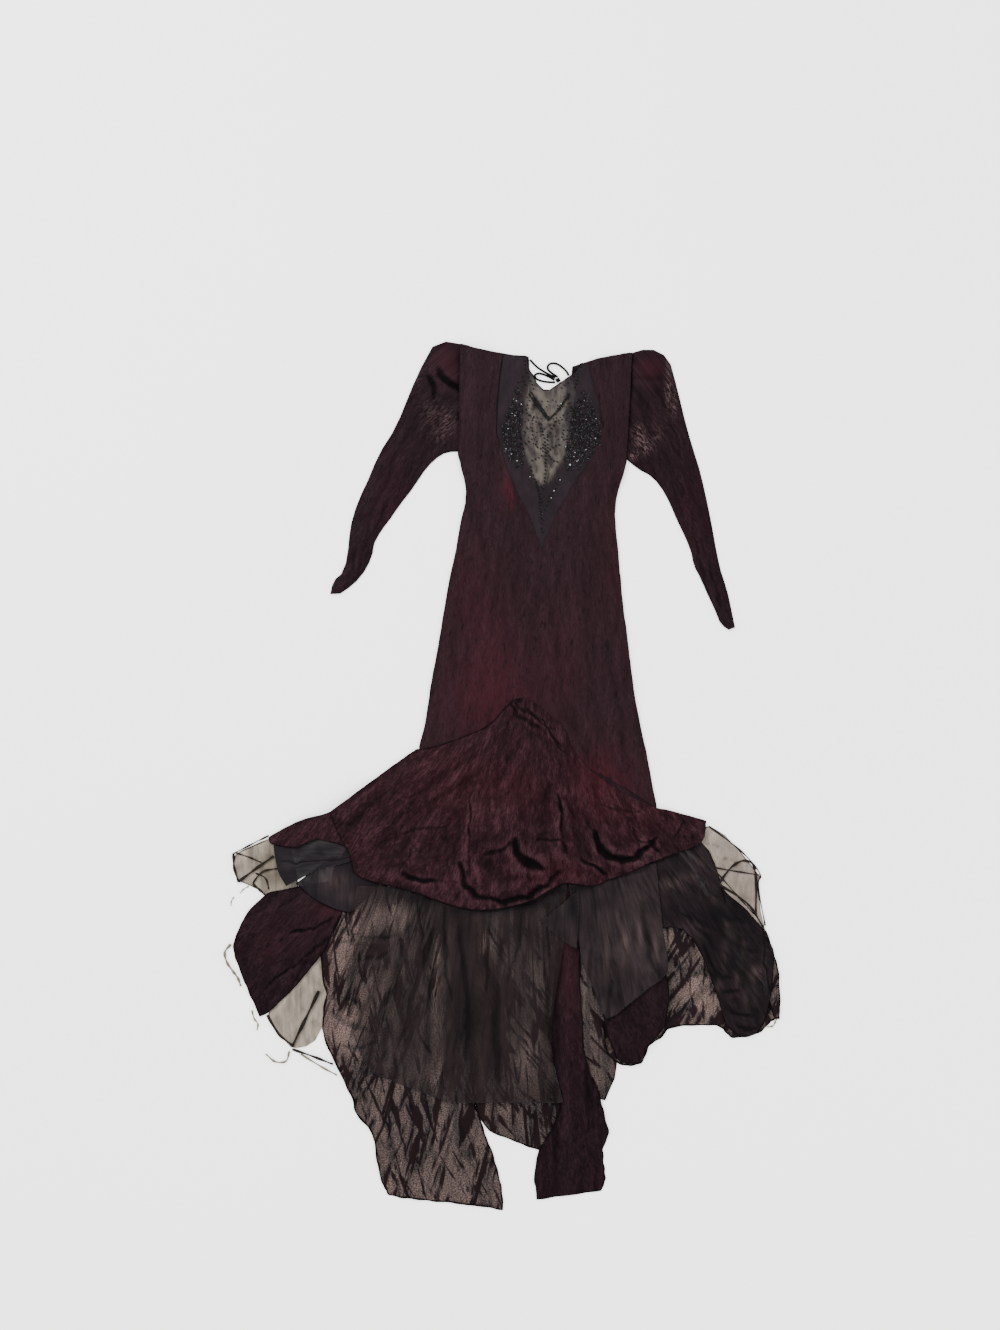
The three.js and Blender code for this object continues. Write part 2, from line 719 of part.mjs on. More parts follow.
const FLOUNCE_FOLDS = [
  [-78, 905, -42, 975, 17, 80], // the pouf over the rolled hem
  [-139, 874, -150, 960, 8, 24],
  [-150, 960, -128, 1020, 8, 24],
  [-112, 1044, -57, 1046, 8, 26],
  [-57, 1046, 0, 1026, 8, 26],
  [27, 851, 34, 961, 11, 24],
  [-40, 685, 36, 740, 4, 16],
  [57, 845, 124, 950, 7, 24],
  [124, 870, 200, 945, 8, 24],
  [180, 888, 270, 926, 6, 22],
  [105, 956, 180, 984, 9, 28],
  [-200, 788, -333, 940, 4, 26],
  [-228, 798, -380, 893, 4, 24],
  [-162, 808, -238, 990, 5, 28],
  [-295, 1006, -210, 1036, 6, 22],
  [-105, 750, -127, 850, 4, 22],
  [-10, 760, -19, 850, 5, 24],
];
const SKIRT_FOLDS = [
  [-395, 1090, -380, 1400, 3, 26],
  [-330, 1080, -300, 1560, 3.5, 28],
  [-270, 1090, -250, 1420, 3.5, 28],
  [-215, 1090, -180, 1600, 4, 28],
  [-135, 1090, -120, 1420, 4, 28],
  [-75, 1080, -70, 1420, 4.5, 28],
  [-20, 1080, -25, 1420, 4, 26],
  [40, 1120, 42, 1600, 4, 24],
  [110, 1040, 105, 1390, 3.5, 26],
  [150, 1030, 190, 1230, 4, 26],
  [225, 1000, 300, 1270, 4, 28],
  [290, 980, 380, 1240, 4, 28],
  [-470, 960, -550, 1200, 4, 30],
  [-420, 980, -500, 1200, 3.5, 28],
];

// The order of laying
layCloth("net_left", NET, { sections: NET_LEFT, rows: 6, columns: 5 });
layCloth("net_lower_left", NET, { sections: NET_LOWER_LEFT, rows: 8, columns: 4 });
layCloth("net_right", NET, { sections: NET_RIGHT, rows: 8, columns: 4 });
layCloth("back_panel", CRINKLE, {
  sections: [...BODY, ...BACK_END],
  rows: 22,
  columns: 6,
  cuts: [cutter(KEYHOLE), cutter(NECK_SLOPE), cutter(ARMHOLE_LEFT), cutter(ARMHOLE_RIGHT)],
});
layPad("shoulder_pad_left", PAD_LEFT);
layPad("shoulder_pad_right", PAD_RIGHT);
laySleeve("sleeve_left", {
  sections: SLEEVE_LEFT,
  rings: 20,
  columns: 7,
  folds: SLEEVE_LEFT_FOLDS,
  pad: PAD_LEFT,
});
laySleeve("sleeve_right", {
  sections: SLEEVE_RIGHT,
  rings: 22,
  columns: 7,
  folds: SLEEVE_RIGHT_FOLDS,
  pad: PAD_RIGHT,
});
layCloth("front_yoke", CHIFFON, {
  sections: YOKE,
  rows: 14,
  columns: 6,
  cuts: [cutter(NECK), cutter(NECK_SLOPE)],
});
layCloth("front_panel", CRINKLE, {
  sections: [...BODY, ...FRONT_END],
  rows: 26,
  columns: 10,
  folds: FRONT_FOLDS,
  cuts: [cutter(FRONT_INSET), cutter(NECK_SLOPE), cutter(ARMHOLE_LEFT), cutter(ARMHOLE_RIGHT)],
});
layTie("neck_tie_left", [
  [-28.4, 28.2], [-22.5, 35], [-14, 43], [-2, 51], [9, 57], [19.6, 62.7],
]);
layTie("neck_tie_right", [
  [45, 58.4], [41, 51], [33, 43], [23, 36.5], [13, 35], [6, 39], [5.4, 46], [12.5, 53.4], [24.2, 61.0],
]);
layTie("neck_tie_bow", [
  [17.9, 66.9], [12, 63.2], [3, 58.6], [-6, 55.4], [-14, 54.6], [-19.3, 58],
  [-17, 64], [-9, 68], [0, 70], [10, 71], [19.2, 71.2],
]);
const knot = new THREE.SphereGeometry(1, 10, 6);
knot.scale(5.6, 4.6, 2.4);
knot.translate(24.6, -67.2, 2.8);
addPiece("neck_tie_knot", knot, TIE);

const skirt = { folds: SKIRT_FOLDS };
layCloth("mesh_left", SHEER, { sections: MESH_LEFT, rows: 24, columns: 7, ...skirt });
layCloth("mesh_centre", SHEER, { sections: MESH_CENTRE, rows: 14, columns: 6, ...skirt });
layCloth("mesh_right_centre", SHEER, { sections: MESH_RIGHT_CENTRE, rows: 10, columns: 4, ...skirt });
layCloth("mesh_right", SHEER, { sections: MESH_RIGHT, rows: 22, columns: 8, ...skirt });
layCloth("mesh_far_right", SHEER, { sections: MESH_FAR_RIGHT, rows: 8, columns: 2 });
layCloth("strip_left", PLUM, { sections: STRIP_LEFT, rows: 12, columns: 7, ...skirt });
layCloth("strip_centre", PLUM, { sections: STRIP_CENTRE, rows: 20, columns: 4, ...skirt });
layCloth("plum_right", PLUM, { sections: PLUM_RIGHT, rows: 8, columns: 4, ...skirt });
layCloth("organza_left_lower", ORGANZA, { sections: ORGANZA_LEFT_LOWER, rows: 6, columns: 4 });
layCloth("organza_left_upper", ORGANZA, { sections: ORGANZA_LEFT_UPPER, rows: 5, columns: 7 });
layCloth("veil_left", ORGANZA, { sections: VEIL_LEFT, rows: 14, columns: 8 });
layCloth("veil_centre", ORGANZA, { sections: VEIL_CENTRE, rows: 14, columns: 9, ...skirt });
layCloth("organza_outer", ORGANZA, { sections: ORGANZA_OUTER, rows: 14, columns: 8, ...skirt });
layCloth("organza_right", ORGANZA, { sections: ORGANZA_RIGHT, rows: 12, columns: 7 });
layCloth("organza_fold", ORGANZA, { sections: ORGANZA_FOLD, rows: 5, columns: 4 });
layCloth("flounce_under", CRINKLE, { sections: FLOUNCE_UNDER, rows: 8, columns: 2 });
layCloth("flounce_front", CRINKLE, { sections: FLOUNCE, rows: 40, columns: 13, folds: FLOUNCE_FOLDS });

// The origin is on the surface, under the middle of the garment.
const box = new THREE.Box3().setFromObject(dress);
const middle = box.getCenter(new THREE.Vector3());
dress.position.set(-middle.x, -middle.y, -box.min.z);
dress.updateMatrixWorld(true);

export default dress;
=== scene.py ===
"""The looks of a long gown of crinkled burgundy mesh, laid face up on a pale floor."""

import json
import math
import random

import bmesh
import bpy
import numpy as np
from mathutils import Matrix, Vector
from mathutils.bvhtree import BVHTree

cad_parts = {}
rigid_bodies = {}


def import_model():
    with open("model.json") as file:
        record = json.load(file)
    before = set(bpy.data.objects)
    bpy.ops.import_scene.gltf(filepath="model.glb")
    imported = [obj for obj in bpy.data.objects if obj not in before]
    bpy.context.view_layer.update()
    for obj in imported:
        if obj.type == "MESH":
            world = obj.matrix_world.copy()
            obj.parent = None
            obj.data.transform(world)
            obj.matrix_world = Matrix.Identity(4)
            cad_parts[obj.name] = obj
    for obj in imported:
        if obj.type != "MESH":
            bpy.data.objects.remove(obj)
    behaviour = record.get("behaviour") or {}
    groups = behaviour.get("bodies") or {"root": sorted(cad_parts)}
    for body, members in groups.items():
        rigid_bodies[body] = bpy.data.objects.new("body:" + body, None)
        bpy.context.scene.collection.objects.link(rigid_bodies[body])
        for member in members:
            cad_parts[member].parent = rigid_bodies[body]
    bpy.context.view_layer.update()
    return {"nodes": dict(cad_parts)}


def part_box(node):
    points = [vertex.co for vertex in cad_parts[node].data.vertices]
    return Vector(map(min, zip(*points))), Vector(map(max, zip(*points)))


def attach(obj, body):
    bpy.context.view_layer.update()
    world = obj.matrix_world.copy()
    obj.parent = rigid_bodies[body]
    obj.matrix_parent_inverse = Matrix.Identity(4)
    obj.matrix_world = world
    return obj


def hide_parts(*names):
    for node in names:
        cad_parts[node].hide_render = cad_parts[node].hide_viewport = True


for leftover in list(bpy.data.objects):
    bpy.data.objects.remove(leftover)
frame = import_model()
NODES = frame["nodes"]

# Places on the dress are given across and down in units of 1.9 mm, with the shoulders at 345 down.
UNIT = 0.0019
WALL = 0.0013
MIDDLE = (500.0, 665.0)
# The tie's knot is 24.6 mm right of the centre front and 67.2 mm below the shoulders.
KNOT_LOW, KNOT_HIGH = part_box("neck_tie_knot")
TIE_ORIGIN = ((KNOT_LOW.x + KNOT_HIGH.x) / 2 - 0.0246, (KNOT_LOW.y + KNOT_HIGH.y) / 2 + 0.0672)
MIDDLE_IN_FRAME = (TIE_ORIGIN[0] + (500 - 545) * UNIT, TIE_ORIGIN[1] - (665 - 345) * UNIT)


def spot(across, down):
    """The place in the frame, in metres, of a place on the dress."""
    return (
        MIDDLE_IN_FRAME[0] + (across - MIDDLE[0]) * UNIT,
        MIDDLE_IN_FRAME[1] + (MIDDLE[1] - down) * UNIT,
    )


def units(co):
    """Across and down of many places in the frame."""
    across = (co[:, 0] - MIDDLE_IN_FRAME[0]) / UNIT + MIDDLE[0]
    down = MIDDLE[1] - (co[:, 1] - MIDDLE_IN_FRAME[1]) / UNIT
    return across, down


def tone(red, green, blue):
    """A colour given as it looks on screen, 0 to 255, as the shader wants it."""
    def linear(value):
        value = value / 255
        return value / 12.92 if value <= 0.04045 else ((value + 0.055) / 1.055) ** 2.4

    return (linear(red), linear(green), linear(blue), 1.0)


# Camera: straight down over the middle of the picture
CAMERA_HEIGHT = 3.510
camera = bpy.data.objects.new("camera", bpy.data.cameras.new("camera"))
bpy.context.scene.collection.objects.link(camera)
camera.data.sensor_width = 36
camera.data.lens = 50
camera.location = (MIDDLE_IN_FRAME[0], MIDDLE_IN_FRAME[1], CAMERA_HEIGHT)
bpy.context.scene.camera = camera

# Rouleau ties in the neck gap: across and down in mm from the centre front, lying on the surface
TIE_DIAMETER = 0.003
# They are drawn fuller than their diameter, as soft cloth tubes look, with their undersides on the floor.
TIE_DRAWN_RADIUS = TIE_DIAMETER * 0.70
TIE_HEIGHT = 0.0021
TIES = {
    "neck_tie_left": [
        (-28.4, 28.2), (-22.5, 35), (-14, 43), (-2, 51), (9, 57), (19.6, 62.7),
    ],
    "neck_tie_right": [
        (45, 58.4), (41, 51), (33, 43), (23, 36.5), (13, 35), (6, 39), (5.4, 46), (12.5, 53.4),
        (24.2, 61),
    ],
    "neck_tie_bow": [
        (17.9, 66.9), (12, 63.2), (3, 58.6), (-6, 55.4), (-14, 54.6), (-19.3, 58), (-17, 64), (-9, 68),
        (0, 70), (10, 71), (19.2, 71.2),
    ],
}


def smooth_route(points, steps):
    """A smooth line through the points, as a centripetal Catmull-Rom curve."""
    points = [Vector(p) for p in points]
    ends = [2 * points[0] - points[1], *points, 2 * points[-1] - points[-2]]
    out = []
    for k in range(len(points) - 1):
        p0, p1, p2, p3 = ends[k : k + 4]
        t1 = (p1 - p0).length ** 0.5
        t2 = t1 + (p2 - p1).length ** 0.5
        t3 = t2 + (p3 - p2).length ** 0.5
        for step in range(steps):
            t = t1 + (t2 - t1) * step / steps
            a1 = p0 * ((t1 - t) / t1) + p1 * (t / t1)
            a2 = p1 * ((t2 - t) / (t2 - t1)) + p2 * ((t - t1) / (t2 - t1))
            a3 = p2 * ((t3 - t) / (t3 - t2)) + p3 * ((t - t2) / (t3 - t2))
            b1 = a1 * ((t2 - t) / t2) + a2 * (t / t2)
            b2 = a2 * ((t3 - t) / (t3 - t1)) + a3 * ((t - t1) / (t3 - t1))
            out.append(b1 * ((t2 - t) / (t2 - t1)) + b2 * ((t - t1) / (t2 - t1)))
    out.append(points[-1])
    return out


# Materials
# At this scale the wave texture makes about one band to a unit.
WAVE_SCALE = 0.3183


class Value:
    """An output of a material's node, from which sums, differences and products can be made."""

    def __init__(self, make, socket):
        self.make = make
        self.socket = socket

    def __add__(self, other):
        return self.make.math("ADD", self, other)

    def __sub__(self, other):
        return self.make.math("SUBTRACT", self, other)

    def __rsub__(self, other):
        return self.make.math("SUBTRACT", other, self)

    def __mul__(self, other):
        return self.make.math("MULTIPLY", self, other)


class Nodes:
    """Short calls for building a material's nodes."""

    def __init__(self, name):
        self.material = bpy.data.materials.new(name)
        self.material.use_nodes = True
        self.tree = self.material.node_tree
        self.shader = self.tree.nodes["Principled BSDF"]
        self.grain = self.tree.nodes.new("ShaderNodeUVMap")
        self.grain.uv_map = "grain"

    def new(self, kind, **settings):
        node = self.tree.nodes.new(kind)
        for key, value in settings.items():
            setattr(node, key, value)
        return node

    def feed(self, value, target):
        """Gives an input a value, a plain number or a colour."""
        if isinstance(value, Value):
            self.tree.links.new(value.socket, target)
        else:
            target.default_value = value

    def on_grain(self, across, along, turn=0.0):
        """Places on the grain, where one unit is that many metres across and along it."""
        mapping = self.new("ShaderNodeMapping", vector_type="TEXTURE")
        mapping.inputs["Rotation"].default_value = (0, 0, turn)
        mapping.inputs["Scale"].default_value = (across, along, 1)
        self.tree.links.new(self.grain.outputs[0], mapping.inputs["Vector"])
        return Value(self, mapping.outputs[0])

    def texture(self, node, place, **settings):
        """The value of a texture node at a place, with its inputs set by name."""
        for name, value in settings.items():
            node.inputs[name].default_value = value
        self.feed(place, node.inputs["Vector"])
        return Value(self, node.outputs["Fac"])

    def noise(self, across, along, detail=3.0, turn=0.0, distortion=0.0, rough=0.55):
        """Noise whose bumps are that big across and along the grain, in metres."""
        return self.texture(
            self.new("ShaderNodeTexNoise"), self.on_grain(across, along, turn),
            Scale=1.0, Detail=detail, Roughness=rough, Distortion=distortion,
        )

    def plain_noise(self, size, detail):
        """Noise whose bumps are that big in metres, whatever the grain."""
        place = Value(self, self.new("ShaderNodeTexCoord").outputs["Object"])
        return self.texture(self.new("ShaderNodeTexNoise"), place, Scale=1 / size, Detail=detail)

    def weave(self, pitch):
        """Two sets of crossing threads, that far apart in metres."""
        threads = [
            self.texture(
                self.new("ShaderNodeTexWave", bands_direction=axis), self.on_grain(pitch, pitch),
                Scale=WAVE_SCALE, Distortion=0.6,
            )
            for axis in "XY"
        ]
        return threads[0] * threads[1]

    def attribute(self, name):
        """What the mesh holds under that name, place by place."""
        return Value(self, self.new("ShaderNodeAttribute", attribute_name=name).outputs["Fac"])

    def math(self, operation, a, b=0.0, clamp=False):
        node = self.new("ShaderNodeMath", operation=operation, use_clamp=clamp)
        self.feed(a, node.inputs[0])
        self.feed(b, node.inputs[1])
        return Value(self, node.outputs[0])

    def ramp(self, factor, stops):
        """Colours or grey values along a factor: a list of (place, value)."""
        node = self.new("ShaderNodeValToRGB")
        elements = node.color_ramp.elements
        while len(elements) < len(stops):
            elements.new(0.5)
        for element, (place, value) in zip(elements, stops):
            element.position = place
            element.color = value if hasattr(value, "__len__") else (value, value, value, 1)
        self.feed(factor, node.inputs["Fac"])
        return Value(self, node.outputs["Color"])

    def mix(self, factor, a, b, blend="MIX"):
        node = self.new("ShaderNodeMix", data_type="RGBA", blend_type=blend)
        for socket, value in ((node.inputs["Factor"], factor), (node.inputs[6], a), (node.inputs[7], b)):
            self.feed(value, socket)
        return Value(self, node.outputs[2])

    def shaded(self, colour, *shades):
        """The colour times each shade."""
        for shade in shades:
            colour = self.mix(1.0, colour, shade, "MULTIPLY")
        return colour

    def bump(self, height, distance, strength, below=None):
        node = self.new("ShaderNodeBump")
        node.inputs["Strength"].default_value = strength
        node.inputs["Distance"].default_value = distance
        self.feed(height, node.inputs["Height"])
        if below is not None:
            self.feed(below, node.inputs["Normal"])
        return Value(self, node.outputs[0])

    def finish(
        self, colour, rough, sheen=0.0, sheen_tint=(1, 1, 1, 1), specular=0.3, normal=None, alpha=None
    ):
        """Feeds the shader and gives its material."""
        for name, value in (
            ("Base Color", colour), ("Roughness", rough), ("Specular IOR Level", specular),
            ("Sheen Weight", sheen), ("Sheen Roughness", 0.5), ("Sheen Tint", sheen_tint),
            ("Normal", normal), ("Alpha", alpha),
        ):
            if value is not None:
                self.feed(value, self.shader.inputs[name])
        return self.material


def crinkle_material(name, dark, middle, light, glow, contrast=1.0):
    """Crinkled mesh: fine lengthwise crushing. Its colour is partly the mesh's own uneven tone and partly
    painted light and shade: darker in the short creases and hollows, lighter and redder on the ridges.
    """
    make = Nodes(name)
    fine = make.noise(0.0028, 0.011, 4.0, distortion=1.0)
    streak = make.noise(0.0055, 0.030, 3.0, turn=0.10, distortion=1.4)
    broad = make.noise(0.017, 0.075, 3.0, turn=-0.06, distortion=1.2)
    patch = make.noise(0.09, 0.16, 2.0)
    relief = make.attribute("relief")
    # Painted light and shade on the crinkle, with its own two-tone look: the colour runs from dark in the
    # noise's troughs and the low places to light on its ridges and the high places.
    factor = (fine * 0.6 + broad * 0.4) * 0.8 + relief * 0.2
    spread = 0.2 / contrast
    colour = make.ramp(factor, [(0.5 - spread, dark), (0.5, middle), (0.5 + spread, light)])
    # Painted highlights: redder on the ridges in the patches listed for each piece, partly the cloth's own
    # redder tone.
    tone_and_light = make.attribute("tone_and_light") * make.ramp(streak, [(0.35, 0.35), (0.62, 1.0)])
    # Uneven tone of its own, painted shade in the short creases, and painted shade and highlight by how
    # low or high each place sits.
    colour = make.shaded(
        make.mix(tone_and_light, colour, glow),
        make.ramp(patch, [(0.3, 0.84), (0.7, 1.04)]),
        make.ramp(streak, [(0.31, 0.55), (0.40, 1.0)]),
        make.ramp(relief, [(0.0, 0.42), (0.35, 0.88), (0.5, 1.0), (1.0, 1.15)]),
    )
    # Pale places: thin, stretched mesh, and painted highlights where light glints on crease edges.
    sheer_and_glint = make.attribute("pale") * make.ramp(fine, [(0.46, 0.0), (0.60, 1.0)])
    colour = make.mix(sheer_and_glint, colour, tone(118, 94, 96))
    # Near-black painted shade deep in the creases.
    colour = make.mix(make.attribute("crease_shade") * 0.96, colour, tone(4, 3, 4))
    normal = make.bump(make.weave(0.0011), 0.00012, 0.5)
    normal = make.bump(fine, 0.0010, 0.9, normal)
    normal = make.bump(broad, 0.0022, 0.5, normal)
    rough = make.ramp(fine, [(0.3, 0.78), (0.7, 0.6)])
    return make.finish(colour, rough, 0.03, glow, 0.07, normal)


def sheer_material(
    name, colour_dark, colour_light, thin, thick, streak,
    crush=(0.006, 0.06), glimpse=(0, 0, 0), uneven=0.55,
):
    """Organza, chiffon or net: see-through, denser in its streaks and creases. What shines through where
    it is pale has the glimpse's colour. In its dark patches it is darker and denser, partly painted shade,
    such as the shadow under the flounce hem, and partly darker cloth beneath; it also has painted shade in
    its low places and creases and painted highlights on its high places."""
    make = Nodes(name)
    fine = make.noise(*crush, 4.0, distortion=0.6)
    broad = make.noise(*streak, 3.0, distortion=1.4)
    cloud = make.noise(0.055, 0.09, 3.0, distortion=0.8)
    relief = make.attribute("relief")
    dense = fine * 0.45 + broad * 0.55
    colour = make.ramp(dense, [(0.32, colour_dark), (0.68, colour_light)])
    colour = make.shaded(colour, make.ramp(cloud, [(0.34, uneven), (0.62, 1.15)]))
    lit = make.attribute("pale") * make.ramp(dense, [(0.40, 0.15), (0.58, 1.0)])
    if any(glimpse):
        colour = make.mix(lit, colour, tone(*glimpse))
    # Painted shade in the low places and painted highlights on the high ones.
    colour = make.shaded(colour, make.ramp(relief, [(0.05, 0.40), (0.5, 1.0), (0.95, 1.45)]))
    # Dark patches: partly painted shade, such as the shadow under the flounce hem, partly darker cloth
    # beneath.
    colour = make.mix(make.attribute("tone_and_light"), colour, tone(14, 11, 15))
    # Near-black painted shade deep in the creases.
    colour = make.mix(make.attribute("crease_shade"), colour, tone(6, 5, 6))
    fold = make.math("ABSOLUTE", relief - 0.5) * 0.35
    alpha = make.ramp(dense, [(0.34, thick), (0.66, thin)]) + make.weave(0.0012) * 0.08 + fold
    alpha = make.math("ADD", alpha, make.attribute("tone_and_light") * 0.4, clamp=True)
    if not any(glimpse):
        alpha = alpha * (1.0 - lit * 0.92)
    normal = make.bump(fine, 0.0012, 0.6)
    normal = make.bump(broad, 0.003, 0.4, normal)
    return make.finish(colour, 0.55, 0.01, (0.8, 0.78, 0.8, 1), 0.10, normal, alpha)


def burnout_material(name, leaf, ground_dark, ground_light, thin, balance, turn):
    """Burn-out mesh: opaque plum leaf-like streaks on a fine see-through ground, brighter where pale, with
    painted shade in its low places and creases and painted highlights on its high places.
    """
    make = Nodes(name)
    leaves = make.noise(0.017, 0.15, 3.0, turn, 1.2, 0.45)
    cross = make.noise(0.013, 0.080, 3.0, turn - 0.5, 1.0, 0.45)
    fine = make.noise(0.004, 0.035, 3.0, distortion=0.5)
    speck = make.noise(0.0022, 0.0022, 2.0)
    relief = make.attribute("relief")
    pale = make.attribute("pale")
    pattern = make.math("MAXIMUM", leaves, cross - 0.03) + (fine - 0.5) * 0.22 - pale * 0.10
    mask = make.ramp(pattern, [(balance - 0.05, 0.0), (balance + 0.04, 1.0)])
    ground = make.ramp(speck, [(0.38, ground_dark), (0.62, ground_light)])
    colour = make.mix(mask, make.shaded(ground, pale * 0.42 + 0.58), leaf)
    # Painted shade in the low places and painted highlights on the high ones, then uneven tone of its own.
    colour = make.shaded(
        colour,
        make.ramp(relief, [(0.0, 0.40), (0.42, 1.0), (1.0, 1.25)]),
        make.ramp(make.noise(0.06, 0.15, 2.0, 0.0, 0.8), [(0.38, 0.60), (0.60, 1.0)]),
    )
    # Near-black painted shade deep in the creases.
    colour = make.mix(make.attribute("crease_shade"), colour, tone(8, 6, 7))
    alpha = make.math("MAXIMUM", make.ramp(speck, [(0.38, 1.0), (0.64, thin)]), mask)
    normal = make.bump(speck, 0.0004, 0.5)
    normal = make.bump(fine, 0.0016, 0.7, normal)
    return make.finish(colour, 0.6, 0.01, (0.8, 0.6, 0.6, 1), 0.12, normal, alpha)


def plain_material(name, dark, light, grain, rough, specular, sheen=0.0):
    """A small part's cloth, foam or glass, with a fine grain of that size in metres."""
    make = Nodes(name)
    noise = make.plain_noise(grain, 3.0)
    colour = make.ramp(noise, [(0.35, dark), (0.65, light)])
    return make.finish(
        colour, rough, sheen, specular=specular, normal=make.bump(noise, 0.0004, 0.6)
    )


BURGUNDY = crinkle_material(
    "burgundy_crinkle", tone(32, 21, 25), tone(47, 31, 36), tone(64, 43, 50), tone(92, 30, 42), 0.9
)
BURGUNDY_SLEEVE = crinkle_material(
    "burgundy_sleeve", tone(24, 15, 18), tone(38, 24, 29), tone(56, 38, 44), tone(78, 26, 38)
)
BURGUNDY_FLOUNCE = crinkle_material(
    "burgundy_flounce", tone(24, 13, 16), tone(48, 27, 32), tone(80, 50, 57), tone(92, 30, 42), 1.25
)
PLUM = crinkle_material("plum", tone(15, 9, 12), tone(38, 24, 29), tone(60, 40, 46), tone(92, 44, 54), 1.1)
CHIFFON = sheer_material(
    "black_chiffon", tone(37, 29, 33), tone(47, 37, 42), 0.95, 0.975, (0.03, 0.05), (0.012, 0.03),
    (103, 95, 87), 0.85
)
ORGANZA = sheer_material(
    "grey_organza", tone(33, 26, 29), tone(65, 53, 55), 0.90, 0.97, (0.014, 0.10), glimpse=(104, 88, 84)
)
ORGANZA_LEFT = sheer_material(
    "left_organza", tone(30, 25, 29), tone(42, 36, 40), 0.95, 0.985, (0.03, 0.10),
    glimpse=(84, 66, 66), uneven=0.8,
)
ORGANZA_DARK = sheer_material(
    "dark_organza", tone(15, 9, 13), tone(50, 38, 43), 0.95, 0.985, (0.010, 0.05), glimpse=(92, 75, 72)
)
VEIL = sheer_material(
    "veil_organza", tone(34, 25, 27), tone(70, 57, 57), 0.42, 0.74, (0.024, 0.24), uneven=0.7
)
NET = sheer_material(
    "fine_net", tone(140, 127, 117), tone(174, 158, 144), 0.89, 0.96, (0.02, 0.04), uneven=0.8
)
NET_LEFT = sheer_material(
    "left_net", tone(122, 113, 103), tone(184, 167, 147), 0.88, 0.97, (0.03, 0.05), uneven=0.8
)
MESH_LEFT = burnout_material(
    "burnout_left", tone(36, 21, 24), tone(76, 59, 57), tone(148, 121, 113), 0.955, 0.50, 0.1
)
MESH_CENTRE = burnout_material(
    "burnout_centre", tone(35, 20, 23), tone(68, 52, 50), tone(124, 101, 95), 0.96, 0.48, -0.1
)
MESH_RIGHT = burnout_material(
    "burnout_right", tone(38, 22, 26), tone(86, 68, 64), tone(150, 124, 114), 0.955, 0.485, 0.9
)
DARK_HEM = plain_material("dark_hem", tone(16, 10, 13), tone(30, 19, 24), 0.004, 0.8, 0.06)
PLUM_HEM = plain_material("plum_hem", tone(40, 26, 31), tone(54, 36, 41), 0.004, 0.8, 0.06)
GREY_HEM = plain_material("grey_hem", tone(30, 27, 30), tone(62, 56, 58), 0.004, 0.7, 0.1)
NET_HEM = plain_material("net_hem", tone(30, 25, 24), tone(58, 50, 45), 0.004, 0.75, 0.08)
BEIGE_HEM = plain_material("beige_hem", tone(128, 118, 100), tone(164, 152, 132), 0.004, 0.75, 0.1)
TIE = plain_material("rouleau_tie", tone(8, 7, 8), tone(20, 17, 18), 0.0012, 0.6, 0.1)
FOAM = plain_material("shoulder_pad", tone(70, 26, 34), tone(104, 38, 50), 0.003, 0.9, 0.2, 0.2)
JET = plain_material("jet_bead", tone(4, 4, 5), tone(12, 12, 14), 0.002, 0.25, 0.4)
CRYSTAL = plain_material("crystal_bead", tone(110, 114, 120), tone(225, 230, 235), 0.002, 0.08, 1.0)
STEEL_BEAD = plain_material("steel_bead", tone(32, 33, 38), tone(76, 78, 84), 0.002, 0.18, 0.8)


# Sheets worked out from the solids
def corner_noise(a, b, seed):
    """A random value from -1 to 1 for each whole place, always the same for one seed."""
    mixed = (a * 374761393 + b * 668265263 + seed * 974634777) & 0x7FFFFFFF
    mixed = ((mixed ^ (mixed >> 13)) * 1274126177) & 0x7FFFFFFF
    return ((mixed ^ (mixed >> 16)) & 0xFFFF) / 32767.5 - 1


def lumps(u, v, seed):
    """Smooth random relief from -1 to 1, one lump to a unit."""
    i, j = np.floor(u).astype(np.int64), np.floor(v).astype(np.int64)
    s, t = u - i, v - j
    s, t = s * s * (3 - 2 * s), t * t * (3 - 2 * t)
    near = corner_noise(i, j, seed) * (1 - s) + corner_noise(i + 1, j, seed) * s
    far = corner_noise(i, j + 1, seed) * (1 - s) + corner_noise(i + 1, j + 1, seed) * s
    return near * (1 - t) + far * t


def crease_relief(table, across, down):
    """Height of all creases at many places in metres, and how much painted shade each place gets in the
    crease, 0 to 1. A row: from across, down, to across, down, height in mm (below 0 for a trough), half
    width, bend, darkness of the painted shade. Each crease is widest in its middle, wanders a little and
    has a soft lip along one side."""
    total, crease_shade = np.zeros(len(across)), np.zeros(len(across))
    across_off = across + 1.3 * lumps(across / 9, down / 9, 91) + 0.6 * lumps(across / 3.5, down / 3.5, 93)
    down_off = down + 1.3 * lumps(across / 9, down / 9, 92) + 0.6 * lumps(across / 3.5, down / 3.5, 94)
    for from_across, from_down, to_across, to_down, height, half, bend, dark in table:
        line = np.array([to_across - from_across, to_down - from_down], float)
        length = math.hypot(*line)
        across_in, down_in = across_off - from_across, down_off - from_down
        share = (across_in * line[0] + down_in * line[1]) / length**2
        held = np.clip(share, 0, 1)
        side = (line[0] * down_in - line[1] * across_in) / length - bend * np.sin(np.pi * held)
        beyond = (share - held) * length
        swell = np.sin(np.pi * (0.14 + 0.72 * held)) ** 0.8
        width = half * (0.4 + 0.7 * swell)
        dip = np.exp(-1.5 * (side**2 + beyond**2) / width**2)
        lip = np.exp(-(((side - 2.0 * width) / (1.6 * width)) ** 2) - 1.5 * (beyond / width) ** 2)
        total += height * 0.001 * swell * (dip - 0.3 * lip)
        filled = 1 - np.clip((side**2 + beyond**2) / width**2, 0, 1) ** 1.5
        crease_shade = np.maximum(crease_shade, dark * filled * np.minimum(1, 1.4 * swell))
    return total, crease_shade


